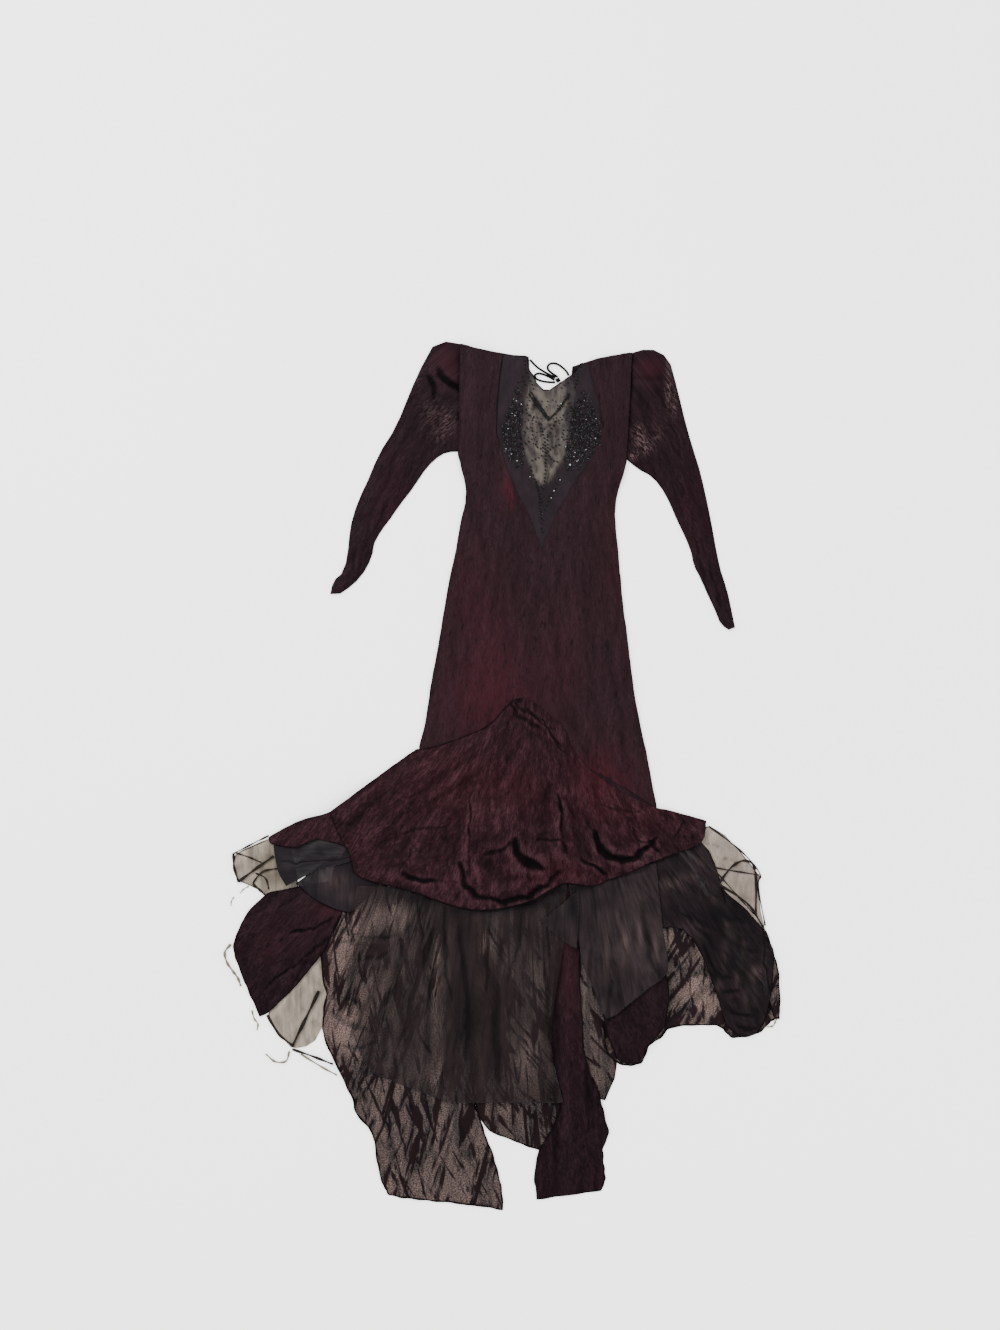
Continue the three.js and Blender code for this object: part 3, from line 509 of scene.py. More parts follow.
def straight(across, down):
    """Grain that runs straight down the dress."""
    return across * UNIT, down * UNIT


def fan(centre, reach):
    """Grain that spreads from a point: even in angle, and as wide as it really is at that reach."""
    def grain(across, down):
        angle = np.arctan2(across - centre[0], down - centre[1])
        return angle * reach * UNIT, np.hypot(across - centre[0], down - centre[1]) * UNIT

    return grain


def along_path(points):
    """Grain that follows a line, such as a sleeve's middle."""
    def grain(across, down):
        best = np.full(len(across), 1e9)
        u, v = np.zeros(len(across)), np.zeros(len(across))
        gone = 0.0
        for (x0, y0), (x1, y1) in zip(points, points[1:]):
            length = math.hypot(x1 - x0, y1 - y0)
            share = ((across - x0) * (x1 - x0) + (down - y0) * (y1 - y0)) / length**2
            held = np.clip(share, 0, 1)
            away = np.hypot(across - x0 - (x1 - x0) * held, down - y0 - (y1 - y0) * held)
            side = ((x1 - x0) * (down - y0) - (y1 - y0) * (across - x0)) / length
            nearer = away < best
            best = np.where(nearer, away, best)
            u = np.where(nearer, side, u)
            v = np.where(nearer, gone + held * length, v)
            gone += length
        return u * UNIT, v * UNIT

    return grain


# How much of a value, and of the mean of those beside it, goes into each smoothing pass
OWN_PART, BESIDE_PART = 0.35, 0.65


def smoothed(values, edges, passes, keep=None):
    """Each value drawn towards the mean of the values beside it, but not where keep is true."""
    count = np.zeros(len(values))
    np.add.at(count, edges[:, 0], 1)
    np.add.at(count, edges[:, 1], 1)
    for _ in range(passes):
        total = np.zeros(len(values))
        np.add.at(total, edges[:, 0], values[edges[:, 1]])
        np.add.at(total, edges[:, 1], values[edges[:, 0]])
        drawn = OWN_PART * values + BESIDE_PART * total / np.maximum(count, 1)
        values = drawn if keep is None else np.where(keep, values, drawn)
    return values


def whole_wall(node):
    """A node's wall, with the corners that share a place joined."""
    sheet = bmesh.new()
    sheet.from_mesh(NODES[node].data)
    bmesh.ops.remove_doubles(sheet, verts=sheet.verts, dist=1e-6)
    sheet.normal_update()
    return sheet


# A face belongs to the upper side where its normal's height is over this.
UPPER_SIDE = 0.25


def upper_face(node):
    """The upper side of a node's wall, as an open sheet."""
    sheet = whole_wall(node)
    gone = [face for face in sheet.faces if face.normal.z <= UPPER_SIDE]
    bmesh.ops.delete(sheet, geom=gone, context="FACES")
    return sheet


# Armhole and cuff of each sleeve, as lines from across, down, to across, down
SLEEVE_ENDS = {
    "sleeve_left": [(460.5, 344, 458.7, 451.8), (329, 594, 342, 593)],
    "sleeve_right": [(632, 352, 626, 460), (735, 627, 729, 630)],
}
# How near such a line the corners of an end rim lie, in metres
END_REACH = 0.0035


def is_end(face, node):
    """Whether all the face's corners lie on the sleeve's first or last ring."""
    for x0, y0, x1, y1 in SLEEVE_ENDS[node]:
        a, b = Vector(spot(x0, y0)), Vector(spot(x1, y1))
        line = (b - a).normalized()
        if all(abs((v.co.xy - a).cross(line)) < END_REACH for v in face.verts):
            return True
    return False


def outer_tube(node):
    """The outer wall of a sleeve, open at the armhole and at the cuff."""
    sheet = whole_wall(node)
    low = min(sheet.faces, key=lambda face: face.calc_center_median().z)
    # The end rims join the two walls: they are the narrow faces whose edges are a wall long.
    rims = [
        face
        for face in sheet.faces
        if abs(face.normal.z) < 0.9 and min(edge.calc_length() for edge in face.edges) < 1.25 * WALL
        and is_end(face, node)
    ]
    bmesh.ops.delete(sheet, geom=rims, context="FACES")
    reached, front = {low}, [low]
    while front:
        for edge in front.pop().edges:
            for other in edge.link_faces:
                if other not in reached:
                    reached.add(other)
                    front.append(other)
    bmesh.ops.delete(sheet, geom=[f for f in sheet.faces if f not in reached], context="FACES")
    return sheet


# Corners and faces of every node's wall
WALLS = {
    name: ([v.co.copy() for v in node.data.vertices], [tuple(p.vertices) for p in node.data.polygons])
    for name, node in NODES.items()
}


def joined_tree(walls):
    """One search tree for several walls."""
    verts, faces = [], []
    for points, polygons in walls:
        start = len(verts)
        verts += points
        faces += [tuple(k + start for k in polygon) for polygon in polygons]
    return BVHTree.FromPolygons(verts, faces)


# In metres: the most a place rises where nothing lies over it, what stays of the wall under the deepest
# trough, the air left to another piece, the least height over the floor, how far off another piece is
# looked for, and how far outside the wall that look starts
MOST_RISE = 0.03
WALL_LEFT = 0.0002
AIR = 0.00015
LEAST_HEIGHT = 0.0003
LOOK_REACH = 0.05
LOOK_START = 0.0001


def room_around(node, co, up):
    """How far each place can rise and sink before it nears another piece. up is 1 on the upper side of
    the cloth and -1 on its underside."""
    tree = joined_tree(wall for name, wall in WALLS.items() if name != node)
    rise, sink = np.full(len(co), MOST_RISE), np.full(len(co), WALL - WALL_LEFT)
    for k, point in enumerate(co):
        place = Vector(point)
        above = place + Vector((0, 0, up[k] * LOOK_START))
        hit = tree.ray_cast(above, Vector((0, 0, up[k])), LOOK_REACH)
        if hit[0] is not None:
            rise[k] = max(0.0, hit[3] / 2 - AIR)
        elif up[k] < 0:
            rise[k] = 0.0
        below = place - Vector((0, 0, up[k] * (WALL + LOOK_START)))
        hit = tree.ray_cast(below, Vector((0, 0, -up[k])), LOOK_REACH)
        gap = hit[3] if hit[0] is not None else max(0.0, below.z) if up[k] > 0 else 0.0
        sink[k] = WALL - WALL_LEFT + max(0.0, gap / 2 - AIR)
    return rise, sink


def crush_relief(rows, u, v, seed):
    """Height of random crushing in metres. A row: height in mm, size across and along the grain in mm,
    sharpness."""
    total = np.zeros(len(u))
    for k, (height, size_across, size_along, sharp) in enumerate(rows):
        shape = lumps(u * 1000 / size_across, v * 1000 / size_along, seed * 7 + k)
        warp = 1.2 * lumps(u * 400 / size_across, v * 500 / size_along, seed * 13 + k)
        bent = lumps(u * 1000 / size_across + warp, v * 1000 / size_along, seed * 11 + k)
        shape = bent * 0.7 + shape * 0.3
        shape = np.sign(shape) * np.abs(shape) ** (1 / sharp)
        total += height * 0.001 * shape
    return total


def soft_patches(rows, across, down):
    """Strength of soft round patches at each place, 0 to 1. A row: across, down, reach across, reach
    down, strength, where a strength far over 1 gives a crisp edge."""
    total = np.zeros(len(across))
    for at_across, at_down, reach_across, reach_down, strength in rows:
        away = ((across - at_across) / reach_across) ** 2 + ((down - at_down) / reach_down) ** 2
        total += strength * np.exp(-away)
    return np.clip(total, 0, 1)


def cloth_mesh(name, sheet, u, v, shares):
    """The sheet as a mesh that holds its grain and, by name, what its material reads at each place."""
    mesh = bpy.data.meshes.new(name)
    sheet.to_mesh(mesh)
    sheet.free()
    mesh.shade_smooth()
    layer = mesh.uv_layers.new(name="grain")
    loop_vertex = np.zeros(len(mesh.loops), np.int32)
    mesh.loops.foreach_get("vertex_index", loop_vertex)
    flat = np.stack([u[loop_vertex], v[loop_vertex]], 1).astype(np.float32)
    layer.uv.foreach_set("vector", flat.ravel())
    for share_name, values in shares.items():
        store = mesh.attributes.new(share_name, "FLOAT", "POINT")
        store.data.foreach_set("value", values.astype(np.float32))
    return mesh


def laid(name, data, material, node=None):
    """Puts a mesh or a curve into the scene with its material, in place of the node if there is one."""
    data.materials.append(material)
    piece = bpy.data.objects.new(name, data)
    bpy.context.scene.collection.objects.link(piece)
    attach(piece, "root")
    if node is not None:
        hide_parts(node)
    return piece


def sheet_piece(node, material, cuts, grain, crush, creases=(), tone_and_light_patches=(), thin_and_glint_places=(),
                hem=None, tube=False, passes=12, ragged=0.0008, seed=1):
    """Makes the visible cloth of one node: its wall's face, cut fine, smoothed, crushed and creased. Its
    first rows of soft patches give painted highlight and shade, with some of the cloth's own tone; its
    second rows give pale places, where the cloth is thin and where it carries painted glints. hem is a
    material, a radius in metres and, where only part of the hem shows, a test of across and down."""
    sheet = outer_tube(node) if tube else upper_face(node)
    bmesh.ops.join_triangles(
        sheet, faces=sheet.faces[:], angle_face_threshold=0.9, angle_shape_threshold=1.6
    )
    cuts = cuts
    bmesh.ops.subdivide_edges(sheet, edges=sheet.edges[:], cuts=cuts, use_grid_fill=True)
    bmesh.ops.remove_doubles(sheet, verts=sheet.verts, dist=1e-5)
    sheet.verts.index_update()
    sheet.normal_update()
    co = np.array([v.co[:] for v in sheet.verts])
    up = np.array([1.0 if v.normal.z >= 0 else -1.0 for v in sheet.verts])
    edges = np.array([[v.index for v in e.verts] for e in sheet.edges])
    rim_edges = np.array([[v.index for v in e.verts] for e in sheet.edges if e.is_boundary])
    rim = np.zeros(len(co), bool)
    rim[rim_edges.ravel()] = True
    rise, sink = [smoothed(room, edges, 2) for room in room_around(node, co, up)]
    soft = smoothed(co[:, 2], edges, passes, rim if tube else None)
    across, down = units(co)
    u, v = grain(across, down)
    folded, crease_shade = crease_relief(creases, across, down)
    wanted = soft + up * (crush_relief(crush, u, v, seed) + folded)
    lowest = np.where(up > 0, co[:, 2] - sink, co[:, 2] - rise)
    highest = np.where(up > 0, co[:, 2] + rise, co[:, 2] + sink)
    z = smoothed(np.maximum(np.clip(wanted, lowest, highest), LEAST_HEIGHT), edges, 1)
    # Edges that aren't quite straight
    nudge = ragged * (0.6 * lumps(u * 1000 / 26, v * 1000 / 26, seed + 50)
                      + 0.6 * lumps(u * 1000 / 11, v * 1000 / 11, seed + 51))
    shift = smoothed(np.where(rim, nudge, 0), edges, 2)
    co[:, 0] += shift
    co[:, 1] += shift * 0.7
    co[:, 2] = z
    for vert, point in zip(sheet.verts, co):
        vert.co = point
    # How high each place sits against its near and wide neighbours; the materials paint shade in the low
    # places and highlights on the high ones from it.
    near, wide = smoothed(z, edges, 5), smoothed(z, edges, 40)
    relief_shading = 0.5 + up * (0.26 * np.tanh((z - near) / 0.0005) + 0.24 * np.tanh((z - wide) / 0.0035))
    mesh = cloth_mesh(node + "_cloth", sheet, u, v, {
        "relief": relief_shading,
        "tone_and_light": soft_patches(tone_and_light_patches, across, down),
        "crease_shade": crease_shade,
        "pale": soft_patches(thin_and_glint_places, across, down),
    })
    piece = laid(node + "_cloth", mesh, material, node)
    trims = [hem_piece(node, piece, rim_edges, *hem)] if hem is not None else []


def tube_mesh(name, lines, sides):
    """One mesh of thin tubes: each line is a list of (place, radius)."""
    verts, faces = [], []
    for line in lines:
        points = [Vector(place) for place, _ in line]
        closed = (points[0] - points[-1]).length < 1e-5 and len(points) > 3
        start = len(verts)
        for k, (place, (_, radius)) in enumerate(zip(points, line)):
            ahead = points[min(k + 1, len(points) - 1)]
            behind = points[max(k - 1, 0)]
            if closed and k in (0, len(points) - 1):
                ahead, behind = points[1], points[-2]
            forward = (ahead - behind).normalized()
            side = forward.cross(Vector((0, 0, 1)))
            side = side.normalized() if side.length > 1e-6 else Vector((1, 0, 0))
            top = side.cross(forward)
            for s in range(sides):
                angle = 2 * math.pi * s / sides
                verts.append(place + (side * math.cos(angle) + top * math.sin(angle)) * radius)
        for k in range(len(points) - 1):
            for s in range(sides):
                a = start + k * sides + s
                b = start + k * sides + (s + 1) % sides
                faces.append((a, b, b + sides, a + sides))
        if not closed:
            faces.append(tuple(start + s for s in reversed(range(sides))))
            faces.append(tuple(start + (len(points) - 1) * sides + s for s in range(sides)))
    mesh = bpy.data.meshes.new(name)
    mesh.from_pydata(verts, [], faces)
    mesh.shade_smooth()
    return mesh


def resting(place, radius, clear):
    """A tube's place and radius, lifted clear of the floor where it would dip into it."""
    return Vector((place.x, place.y, max(place.z, radius * clear))), radius


def rim_lines(piece, rim_edges, seen):
    """The edge of a sheet as lists of places, in order, with what isn't seen left out."""
    beside = {}
    for a, b in rim_edges:
        beside.setdefault(int(a), []).append(int(b))
        beside.setdefault(int(b), []).append(int(a))
    left = set(beside)
    lines = []
    while left:
        start = left.pop()
        line = [start]
        for direction in (0, 1):
            here = line[-1] if direction == 0 else line[0]
            while True:
                ways = [k for k in beside[here] if k in left]
                if not ways:
                    break
                here = ways[0]
                left.discard(here)
                if direction == 0:
                    line.append(here)
                else:
                    line.insert(0, here)
        if line[0] in beside[line[-1]] and len(line) > 3:
            line.append(line[0])
        lines.append(line)
    out = []
    for line in lines:
        run = []
        for k in line:
            place = piece.data.vertices[k].co.copy()
            if seen is None or seen(*[float(n[0]) for n in units(np.array([place[:]]))]):
                run.append(place)
            else:
                if len(run) > 2:
                    out.append(run)
                run = []
        if len(run) > 2:
            out.append(run)
    return out


def hem_piece(node, piece, rim_edges, material, radius, seen=None):
    """A rolled hem along the sheet's edge, uneven as cloth is."""
    lines = []
    for run in rim_lines(piece, rim_edges, seen):
        run = run[::2] + ([run[-1]] if len(run) % 2 == 0 else [])
        line = []
        for k, place in enumerate(run):
            size = radius * (0.85 + 0.35 * math.sin(k * 0.9) * math.sin(k * 0.37 + 1))
            line.append(resting(place, size, 1.08))
        if len(line) > 2:
            lines.append(line)
    return laid(node + "_hem", tube_mesh(node + "_hem", lines, 5), material)


# Floor and light
bpy.ops.mesh.primitive_plane_add(size=14, location=(0, 0, -0.0004))
floor = bpy.context.object
floor.name = "floor"
floor_look = Nodes("pale_floor")
floor_noise = floor_look.plain_noise(1 / 1.2, 2.0)
floor_look.finish(
    floor_look.ramp(floor_noise, [(0.3, tone(228, 228, 226)), (0.7, tone(234, 234, 232))]),
    0.9, specular=0.1,
)
# The floor glows, less so where the dress is near, for a soft shadow all round.
FLOOR_GLOW = 2.5
SHADOW_REACH = 0.12
near_cloth = floor_look.new("ShaderNodeAmbientOcclusion", samples=8)
near_cloth.inputs["Distance"].default_value = SHADOW_REACH
shadow = floor_look.ramp(
    Value(floor_look, near_cloth.outputs["AO"]),
    [(0.45, (0.45, 0.46, 0.45, 1)), (0.97, (1.0, 0.995, 0.985, 1))],
)
floor_look.feed(shadow, floor_look.shader.inputs["Emission Color"])
floor_look.shader.inputs["Emission Strength"].default_value = FLOOR_GLOW
floor.data.materials.append(floor_look.material)

world = bpy.data.worlds.new("soft_room")
bpy.context.scene.world = world
world.use_nodes = True
background = world.node_tree.nodes["Background"]
background.inputs["Color"].default_value = (1, 1, 1, 1)
background.inputs["Strength"].default_value = 0.50


def soft_light(name, place, aim, size, power):
    """A round lamp that wide in metres, at a place and turned to what it aims at."""
    light = bpy.data.lights.new(name, "AREA")
    light.shape = "DISK"
    light.size = size
    light.energy = power
    lamp = bpy.data.objects.new(name, light)
    bpy.context.scene.collection.objects.link(lamp)
    lamp.location = place
    lamp.rotation_mode = "QUATERNION"
    lamp.rotation_quaternion = (Vector(aim) - Vector(place)).to_track_quat("-Z", "Y")


soft_light("key", (-1.9, 1.9, 2.6), (0, 0.1, 0), 1.6, 105)
soft_light("fill", (2.4, -0.6, 2.6), (0, 0, 0), 2.6, 36)

# The way the grain runs in the pieces
SKIRT = fan((545, 330), 640)
RIGHT_SKIRT = fan((560, 690), 270)
FLOUNCE_GRAIN = fan((548, 610), 200)
SLEEVE_LEFT_PATH = along_path(
    [(458, 398), (425, 425), (403, 465), (383, 510), (362, 558), (348, 580), (333, 596)]
)
SLEEVE_RIGHT_PATH = along_path(
    [(630, 412), (655, 445), (671, 485), (690, 530), (709, 580), (725, 612), (733, 630)]
)
BODY_GRAIN = fan((545, -900), 1400)

# Creases: from across, down, to across, down, height in mm, half width, bend, darkness of the shade
# painted in the crease
SLEEVE_LEFT_CREASES = [
    (439, 371, 459, 389, -2.8, 4.4, 3, 1.0),
    (427, 375, 434, 399, -2.0, 3.0, -3, 1.0),
    (459, 412, 460, 448, -1.0, 1.4, 0, 0.7),
    (448, 400, 420, 440, 0.9, 4, 4, 0),
    (440, 396, 404, 452, -0.9, 3, 2, 0),
    (424, 410, 388, 486, 1.0, 4, -3, 0),
    (412, 428, 380, 500, -1.0, 3, 3, 0),
    (450, 430, 420, 470, 0.8, 3, -3, 0),
    (400, 470, 372, 530, 1.2, 3.5, 2, 0),
    (392, 488, 366, 546, -1.2, 2.6, -2, 0),
    (384, 500, 362, 556, 1.1, 2.8, 3, 0),
    (372, 520, 358, 575, -1.8, 2.4, 1, 0),
    (366, 536, 350, 582, 1.2, 2.6, -2, 0),
    (357, 545, 354, 575, -1.6, 2.0, 1, 0),
    (351, 580, 334, 590, 1.4, 2.2, 1, 0),
    (346, 588, 332, 596, -1.4, 1.8, -1, 0),
]
SLEEVE_RIGHT_CREASES = [
    (634, 379, 664, 380, -1.8, 2.6, 0, 0),
    (660, 366, 668, 400, 1.2, 3, -2, 0),
    (640, 390, 650, 440, -0.9, 3, 2, 0),
    (650, 392, 664, 450, 1.0, 4, 2, 0),
    (662, 400, 682, 480, -0.9, 3, -3, 0),
    (645, 430, 668, 490, 1.0, 3.5, 2, 0),
    (668, 440, 690, 510, 1.0, 3.5, -2, 0),
    (672, 480, 694, 540, -1.2, 2.6, 2, 0),
    (684, 496, 702, 552, 1.2, 3, 2, 0),
    (692, 520, 706, 580, -1.8, 2.2, 1, 0),
    (698, 540, 716, 596, 1.3, 2.4, -1, 0),
    (708, 556, 722, 606, -1.8, 2.2, 2, 0),
    (706, 578, 722, 614, 1.2, 2.2, 1, 0),
    (716, 590, 730, 622, -1.6, 2.0, -1, 0),
    (722, 596, 732, 618, 1.3, 2.0, 1, 0),
]
FRONT_CREASES = [
    (468, 470, 488, 560, -0.8, 4, 3, 0),
    (500, 440, 520, 520, 1.2, 4, -2, 0),
    (510, 470, 524, 520, -0.9, 3, 0, 0),
    (612, 470, 596, 540, 0.9, 4, 3, 0),
    (598, 396, 602, 428, -1.0, 1.2, 1, 0.8),
    (590, 500, 556, 590, -0.8, 4, 3, 0),
    (524, 560, 500, 660, -1.0, 5, 4, 0),
    (534, 575, 522, 672, 1.1, 5, 3, 0),
    (470, 560, 452, 680, -0.9, 5, 3, 0),
    (488, 590, 468, 700, 1.0, 5, -3, 0),
    (545, 580, 560, 680, -0.9, 5, -3, 0),
    (570, 570, 590, 690, 1.0, 5, 3, 0),
    (600, 600, 622, 720, -0.9, 5, 3, 0),
    (585, 640, 610, 740, 1.0, 5, -2, 0),
    (614, 640, 636, 760, 1.0, 5, 2, 0),
    (560, 690, 600, 780, -1.1, 4, 4, 0),
    (545, 690, 580, 760, 1.0, 4, 3, 0),
    (440, 700, 432, 740, -1.0, 4, 0, 0),
    (575, 700, 628, 800, 1.0, 4, 4, 0),
    (520, 700, 545, 726, -2.0, 2.6, 3, 0),
    (524, 699, 566, 740, -1.8, 2.6, 5, 0),
    (528, 703, 560, 745, 1.6, 2.6, 5, 0),
    (532, 712, 552, 742, -1.8, 2.4, 3, 0),
]
FLOUNCE_CREASES = [
    (508, 706, 521, 700, -1.2, 1.0, -1, 0.9),
    (509, 705, 517, 714, -1.8, 1.5, -1, 0.9),
    (514, 704, 538, 716, -1.6, 1.0, 2, 0.75),
    (526, 708, 548, 722, -1.6, 1.1, 2, 0.8),
    (534, 716, 556, 730, -1.4, 0.9, 2, 0.7),
    (545, 722, 562, 746, -1.6, 1.0, 2, 0.75),
    (552, 736, 567, 755, -1.4, 0.9, 1, 0.6),
    (528, 722, 540, 728, -1.2, 2.2, 0, 0.5),
    (512, 712, 532, 720, -1.2, 2.6, 2, 0.5),
    (520, 716, 560, 742, 1.2, 3.0, 4, 0),
    (500, 730, 430, 780, 0.9, 5, 6, 0),
    (496, 745, 400, 815, -0.9, 4, 7, 0),
    (500, 752, 380, 850, 1.0, 6, 9, 0),
    (480, 770, 372, 858, -0.9, 4, 6, 0.1),
    (470, 790, 390, 880, 1.0, 6, 6, 0),
    (448, 826, 400, 834, -0.9, 1.4, 2, 0.35),
    (440, 832, 448, 842, -0.9, 1.0, 1, 0.5),
    (469, 799, 471, 822, -1.6, 0.9, -1, 0.8),
    (471, 816, 469, 850, -1.6, 1.0, 1, 0.9),
    (469, 846, 468, 874, -1.6, 0.9, 0, 0.7),
    (478, 806, 476, 868, 1.4, 4, -2, 0),
    (420, 770, 350, 824, -0.8, 4, 4, 0.1),
    (410, 790, 346, 838, 0.9, 4, 3, 0),
    (402, 873, 418, 878, -2.6, 3.0, 1, 1.0),
    (414, 878, 436, 881, -2.6, 2.6, 0, 1.0),
    (394, 860, 440, 866, 1.2, 5, -2, 0),
    (460, 862, 465, 888, -2.6, 2.2, -1, 0.9),
    (464, 884, 478, 899, -3.2, 2.8, -2, 1.0),
    (474, 897, 506, 903, -3.4, 2.4, -2, 1.0),
    (500, 902, 532, 896, -3.4, 2.4, -2, 1.0),
    (528, 897, 548, 884, -3.0, 2.8, -2, 1.0),
    (545, 886, 561, 870, -2.4, 1.9, -1, 0.9),
    (474, 866, 494, 888, 2.4, 7, -3, 0),
    (496, 888, 540, 884, 2.6, 7, -2, 0),
    (515, 838, 517, 856, -5.0, 4.2, 1, 1.0),
    (517, 852, 532, 866, -6.0, 5.6, 1, 1.0),
    (526, 858, 542, 867, -5.0, 4.4, 0, 1.0),
    (528, 868, 530, 880, -2.0, 1.6, 1, 0.8),
    (516, 838, 503, 849, -1.8, 2.4, 1, 0.7),
    (506, 848, 484, 853, -1.8, 2.4, 1, 0.75),
    (534, 839, 560, 840, -1.4, 0.9, 0, 0.9),
    (524, 826, 560, 828, 1.6, 6, 1, 0),
    (558, 793, 563, 814, -2.4, 1.8, 1, 1.0),
    (562, 812, 561, 834, -2.2, 1.4, 0, 1.0),
    (561, 832, 565, 852, -2.2, 1.2, 0, 1.0),
    (569, 796, 574, 850, 1.6, 4, 2, 0),
    (551, 796, 555, 848, 1.4, 5, 2, 0),
    (567, 797, 573, 815, -1.0, 0.9, 1, 0.6),
    (594, 830, 600, 850, -5.0, 3.8, 1, 1.0),
    (598, 844, 612, 858, -6.0, 5.6, 1, 1.0),
    (610, 856, 634, 858, -6.0, 4.6, 1, 1.0),
    (630, 858, 643, 848, -4.0, 4.0, 1, 1.0),
    (640, 850, 656, 838, -3.0, 2.6, 1, 1.0),
    (600, 826, 640, 842, 2.0, 6, -3, 0),
    (581, 859, 607, 874, -2.6, 1.8, 0, 1.0),
    (584, 862, 606, 868, 1.6, 4, 0, 0),
    (560, 868, 600, 884, 1.4, 6, 3, 0),
    (632, 826, 636, 838, -1.4, 1.4, 1, 0.7),
    (636, 838, 648, 842, -1.6, 1.6, 1, 0.6),
    (650, 840, 658, 850, -1.8, 2.0, 1, 0.9),
    (600, 803, 640, 812, -1.0, 1.8, 2, 0.4),
    (612, 800, 640, 826, -1.2, 3.0, 3, 0.2),
    (600, 790, 616, 820, 1.0, 4, 2, 0),
    (584, 800, 592, 836, -1.2, 3, 2, 0.2),
    (682, 822, 674, 836, -1.2, 1.2, 0, 0.6),
    (540, 760, 548, 800, -1.0, 3, 2, 0.15),
    (528, 770, 530, 820, 1.0, 5, 2, 0),
    (500, 790, 505, 830, -1.0, 4, 2, 0.15),
    (450, 850, 460, 880, 1.0, 4, 2, 0),
    (440, 900, 500, 910, 1.0, 5, 0, 0),
    (526, 745, 505, 790, 0.9, 5, 4, 0),
    (540, 750, 530, 790, -0.9, 4, 3, 0.1),
]
SKIRT_CREASES = [
    (372, 930, 345, 1000, -1.0, 4, 3, 0.45),
    (360, 945, 333, 1010, 1.0, 4, 3, 0),
    (400, 960, 385, 1060, -1.0, 5, 4, 0.45),
    (340, 930, 398, 935, -1.2, 2.2, 4, 0.6),
    (335, 942, 376, 948, -1.0, 1.6, -3, 0.5),
    (352, 958, 392, 950, -1.0, 1.6, 3, 0.45),
    (334, 1000, 362, 1004, -1.2, 2.0, -3, 0.6),
    (340, 1046, 376, 1040, -1.2, 2.0, 4, 0.6),
    (346, 1062, 384, 1074, -1.2, 2.2, 3, 0.5),
    (398, 905, 404, 960, -1.0, 1.6, 2, 0.5),
    (418, 900, 424, 990, -1.0, 1.6, -3, 0.5),
    (446, 905, 452, 1000, -1.2, 2.4, 4, 0.6),
    (458, 925, 466, 1060, -1.2, 3.0, -4, 0.5),
    (492, 905, 488, 990, -1.0, 1.8, 3, 0.45),
    (522, 905, 508, 980, -1.0, 1.8, -3, 0.45),
    (548, 905, 552, 1070, -1.2, 2.0, 3, 0.6),
    (380, 1095, 400, 1160, -1.2, 1.8, 3, 0.7),
    (412, 1085, 404, 1165, -1.2, 1.8, -3, 0.7),
    (456, 1090, 462, 1165, -1.2, 2.0, 3, 0.6),
    (338, 960, 380, 975, 0.9, 4, -3, 0),
    (330, 1010, 372, 1030, -1.1, 4, 4, 0.45),
    (326, 1030, 370, 1060, 1.0, 4, 3, 0),
    (395, 1060, 390, 1160, -1.2, 4, 2, 0.45),
    (410, 1075, 412, 1160, 1.2, 4, 2, 0),
    (428, 1090, 436, 1165, -1.2, 4, 2, 0.45),
    (362, 1085, 372, 1160, 1.1, 4, 2, 0),
    (448, 1100, 470, 1165, -1.2, 4, -2, 0.45),
    (432, 930, 428, 1060, -1.1, 5, 2, 0.45),
    (452, 930, 450, 1070, 1.2, 5, 2, 0),
    (500, 940, 498, 1080, -1.2, 5, 3, 0.45),
    (470, 960, 462, 1080, 1.1, 6, 3, 0),
    (535, 1100, 530, 1160, -1.0, 4, 1, 0.45),
    (560, 950, 556, 1160, -1.0, 5, 4, 0.45),
    (574, 960, 568, 1150, 1.0, 5, 3, 0),
    (590, 950, 588, 1130, -1.2, 3, 2, 0.45),
    (600, 960, 596, 1140, 1.2, 3, 2, 0),
    (610, 980, 606, 1100, -1.2, 3, 2, 0.45),
    (620, 880, 614, 1010, 1.0, 4, 2, 0),
    (640, 900, 660, 980, -1.1, 4, 3, 0.45),
    (662, 900, 690, 960, 1.0, 4, 3, 0),
    (668, 960, 712, 975, -1.2, 4, 3, 0.45),
    (664, 1000, 706, 950, 1.2, 4, 3, 0),
    (668, 1020, 715, 978, -1.2, 4, 3, 0.45),
    (690, 1022, 716, 990, 1.0, 4, 2, 0),
    (700, 880, 740, 960, -1.0, 5, 3, 0.45),
    (724, 900, 752, 980, 1.1, 5, 3, 0),
    (738, 930, 756, 1020, -1.2, 5, 3, 0.45),
    (736, 985, 762, 1010, 1.2, 4, 2, 0),
    (690, 913, 704, 924, -1.6, 1.6, 2, 0.7),
    (681, 912, 690, 922, -1.6, 1.8, -3, 0.8),
    (696, 926, 712, 950, -1.8, 2.2, -3, 0.6),
    (704, 944, 716, 972, -2.0, 2.4, 3, 0.8),
    (668, 974, 700, 969, -1.2, 1.2, 2, 0.7),
    (700, 968, 730, 977, -1.8, 1.8, 2, 0.9),
    (712, 906, 744, 922, -1.4, 2.6, 3, 0.4),
    (720, 930, 756, 952, -1.4, 3.0, 3, 0.4),
    (733, 956, 758, 984, -1.4, 2.6, -3, 0.5),
    (719, 992, 738, 988, -1.8, 1.8, 1, 0.8),
    (730, 1012, 752, 1016, -2.0, 1.8, 1, 0.9),
    (736, 1026, 758, 1028, -1.8, 2.2, 1, 0.8),
    (762, 930, 772, 1000, -1.4, 1.4, 2, 0.6),
]
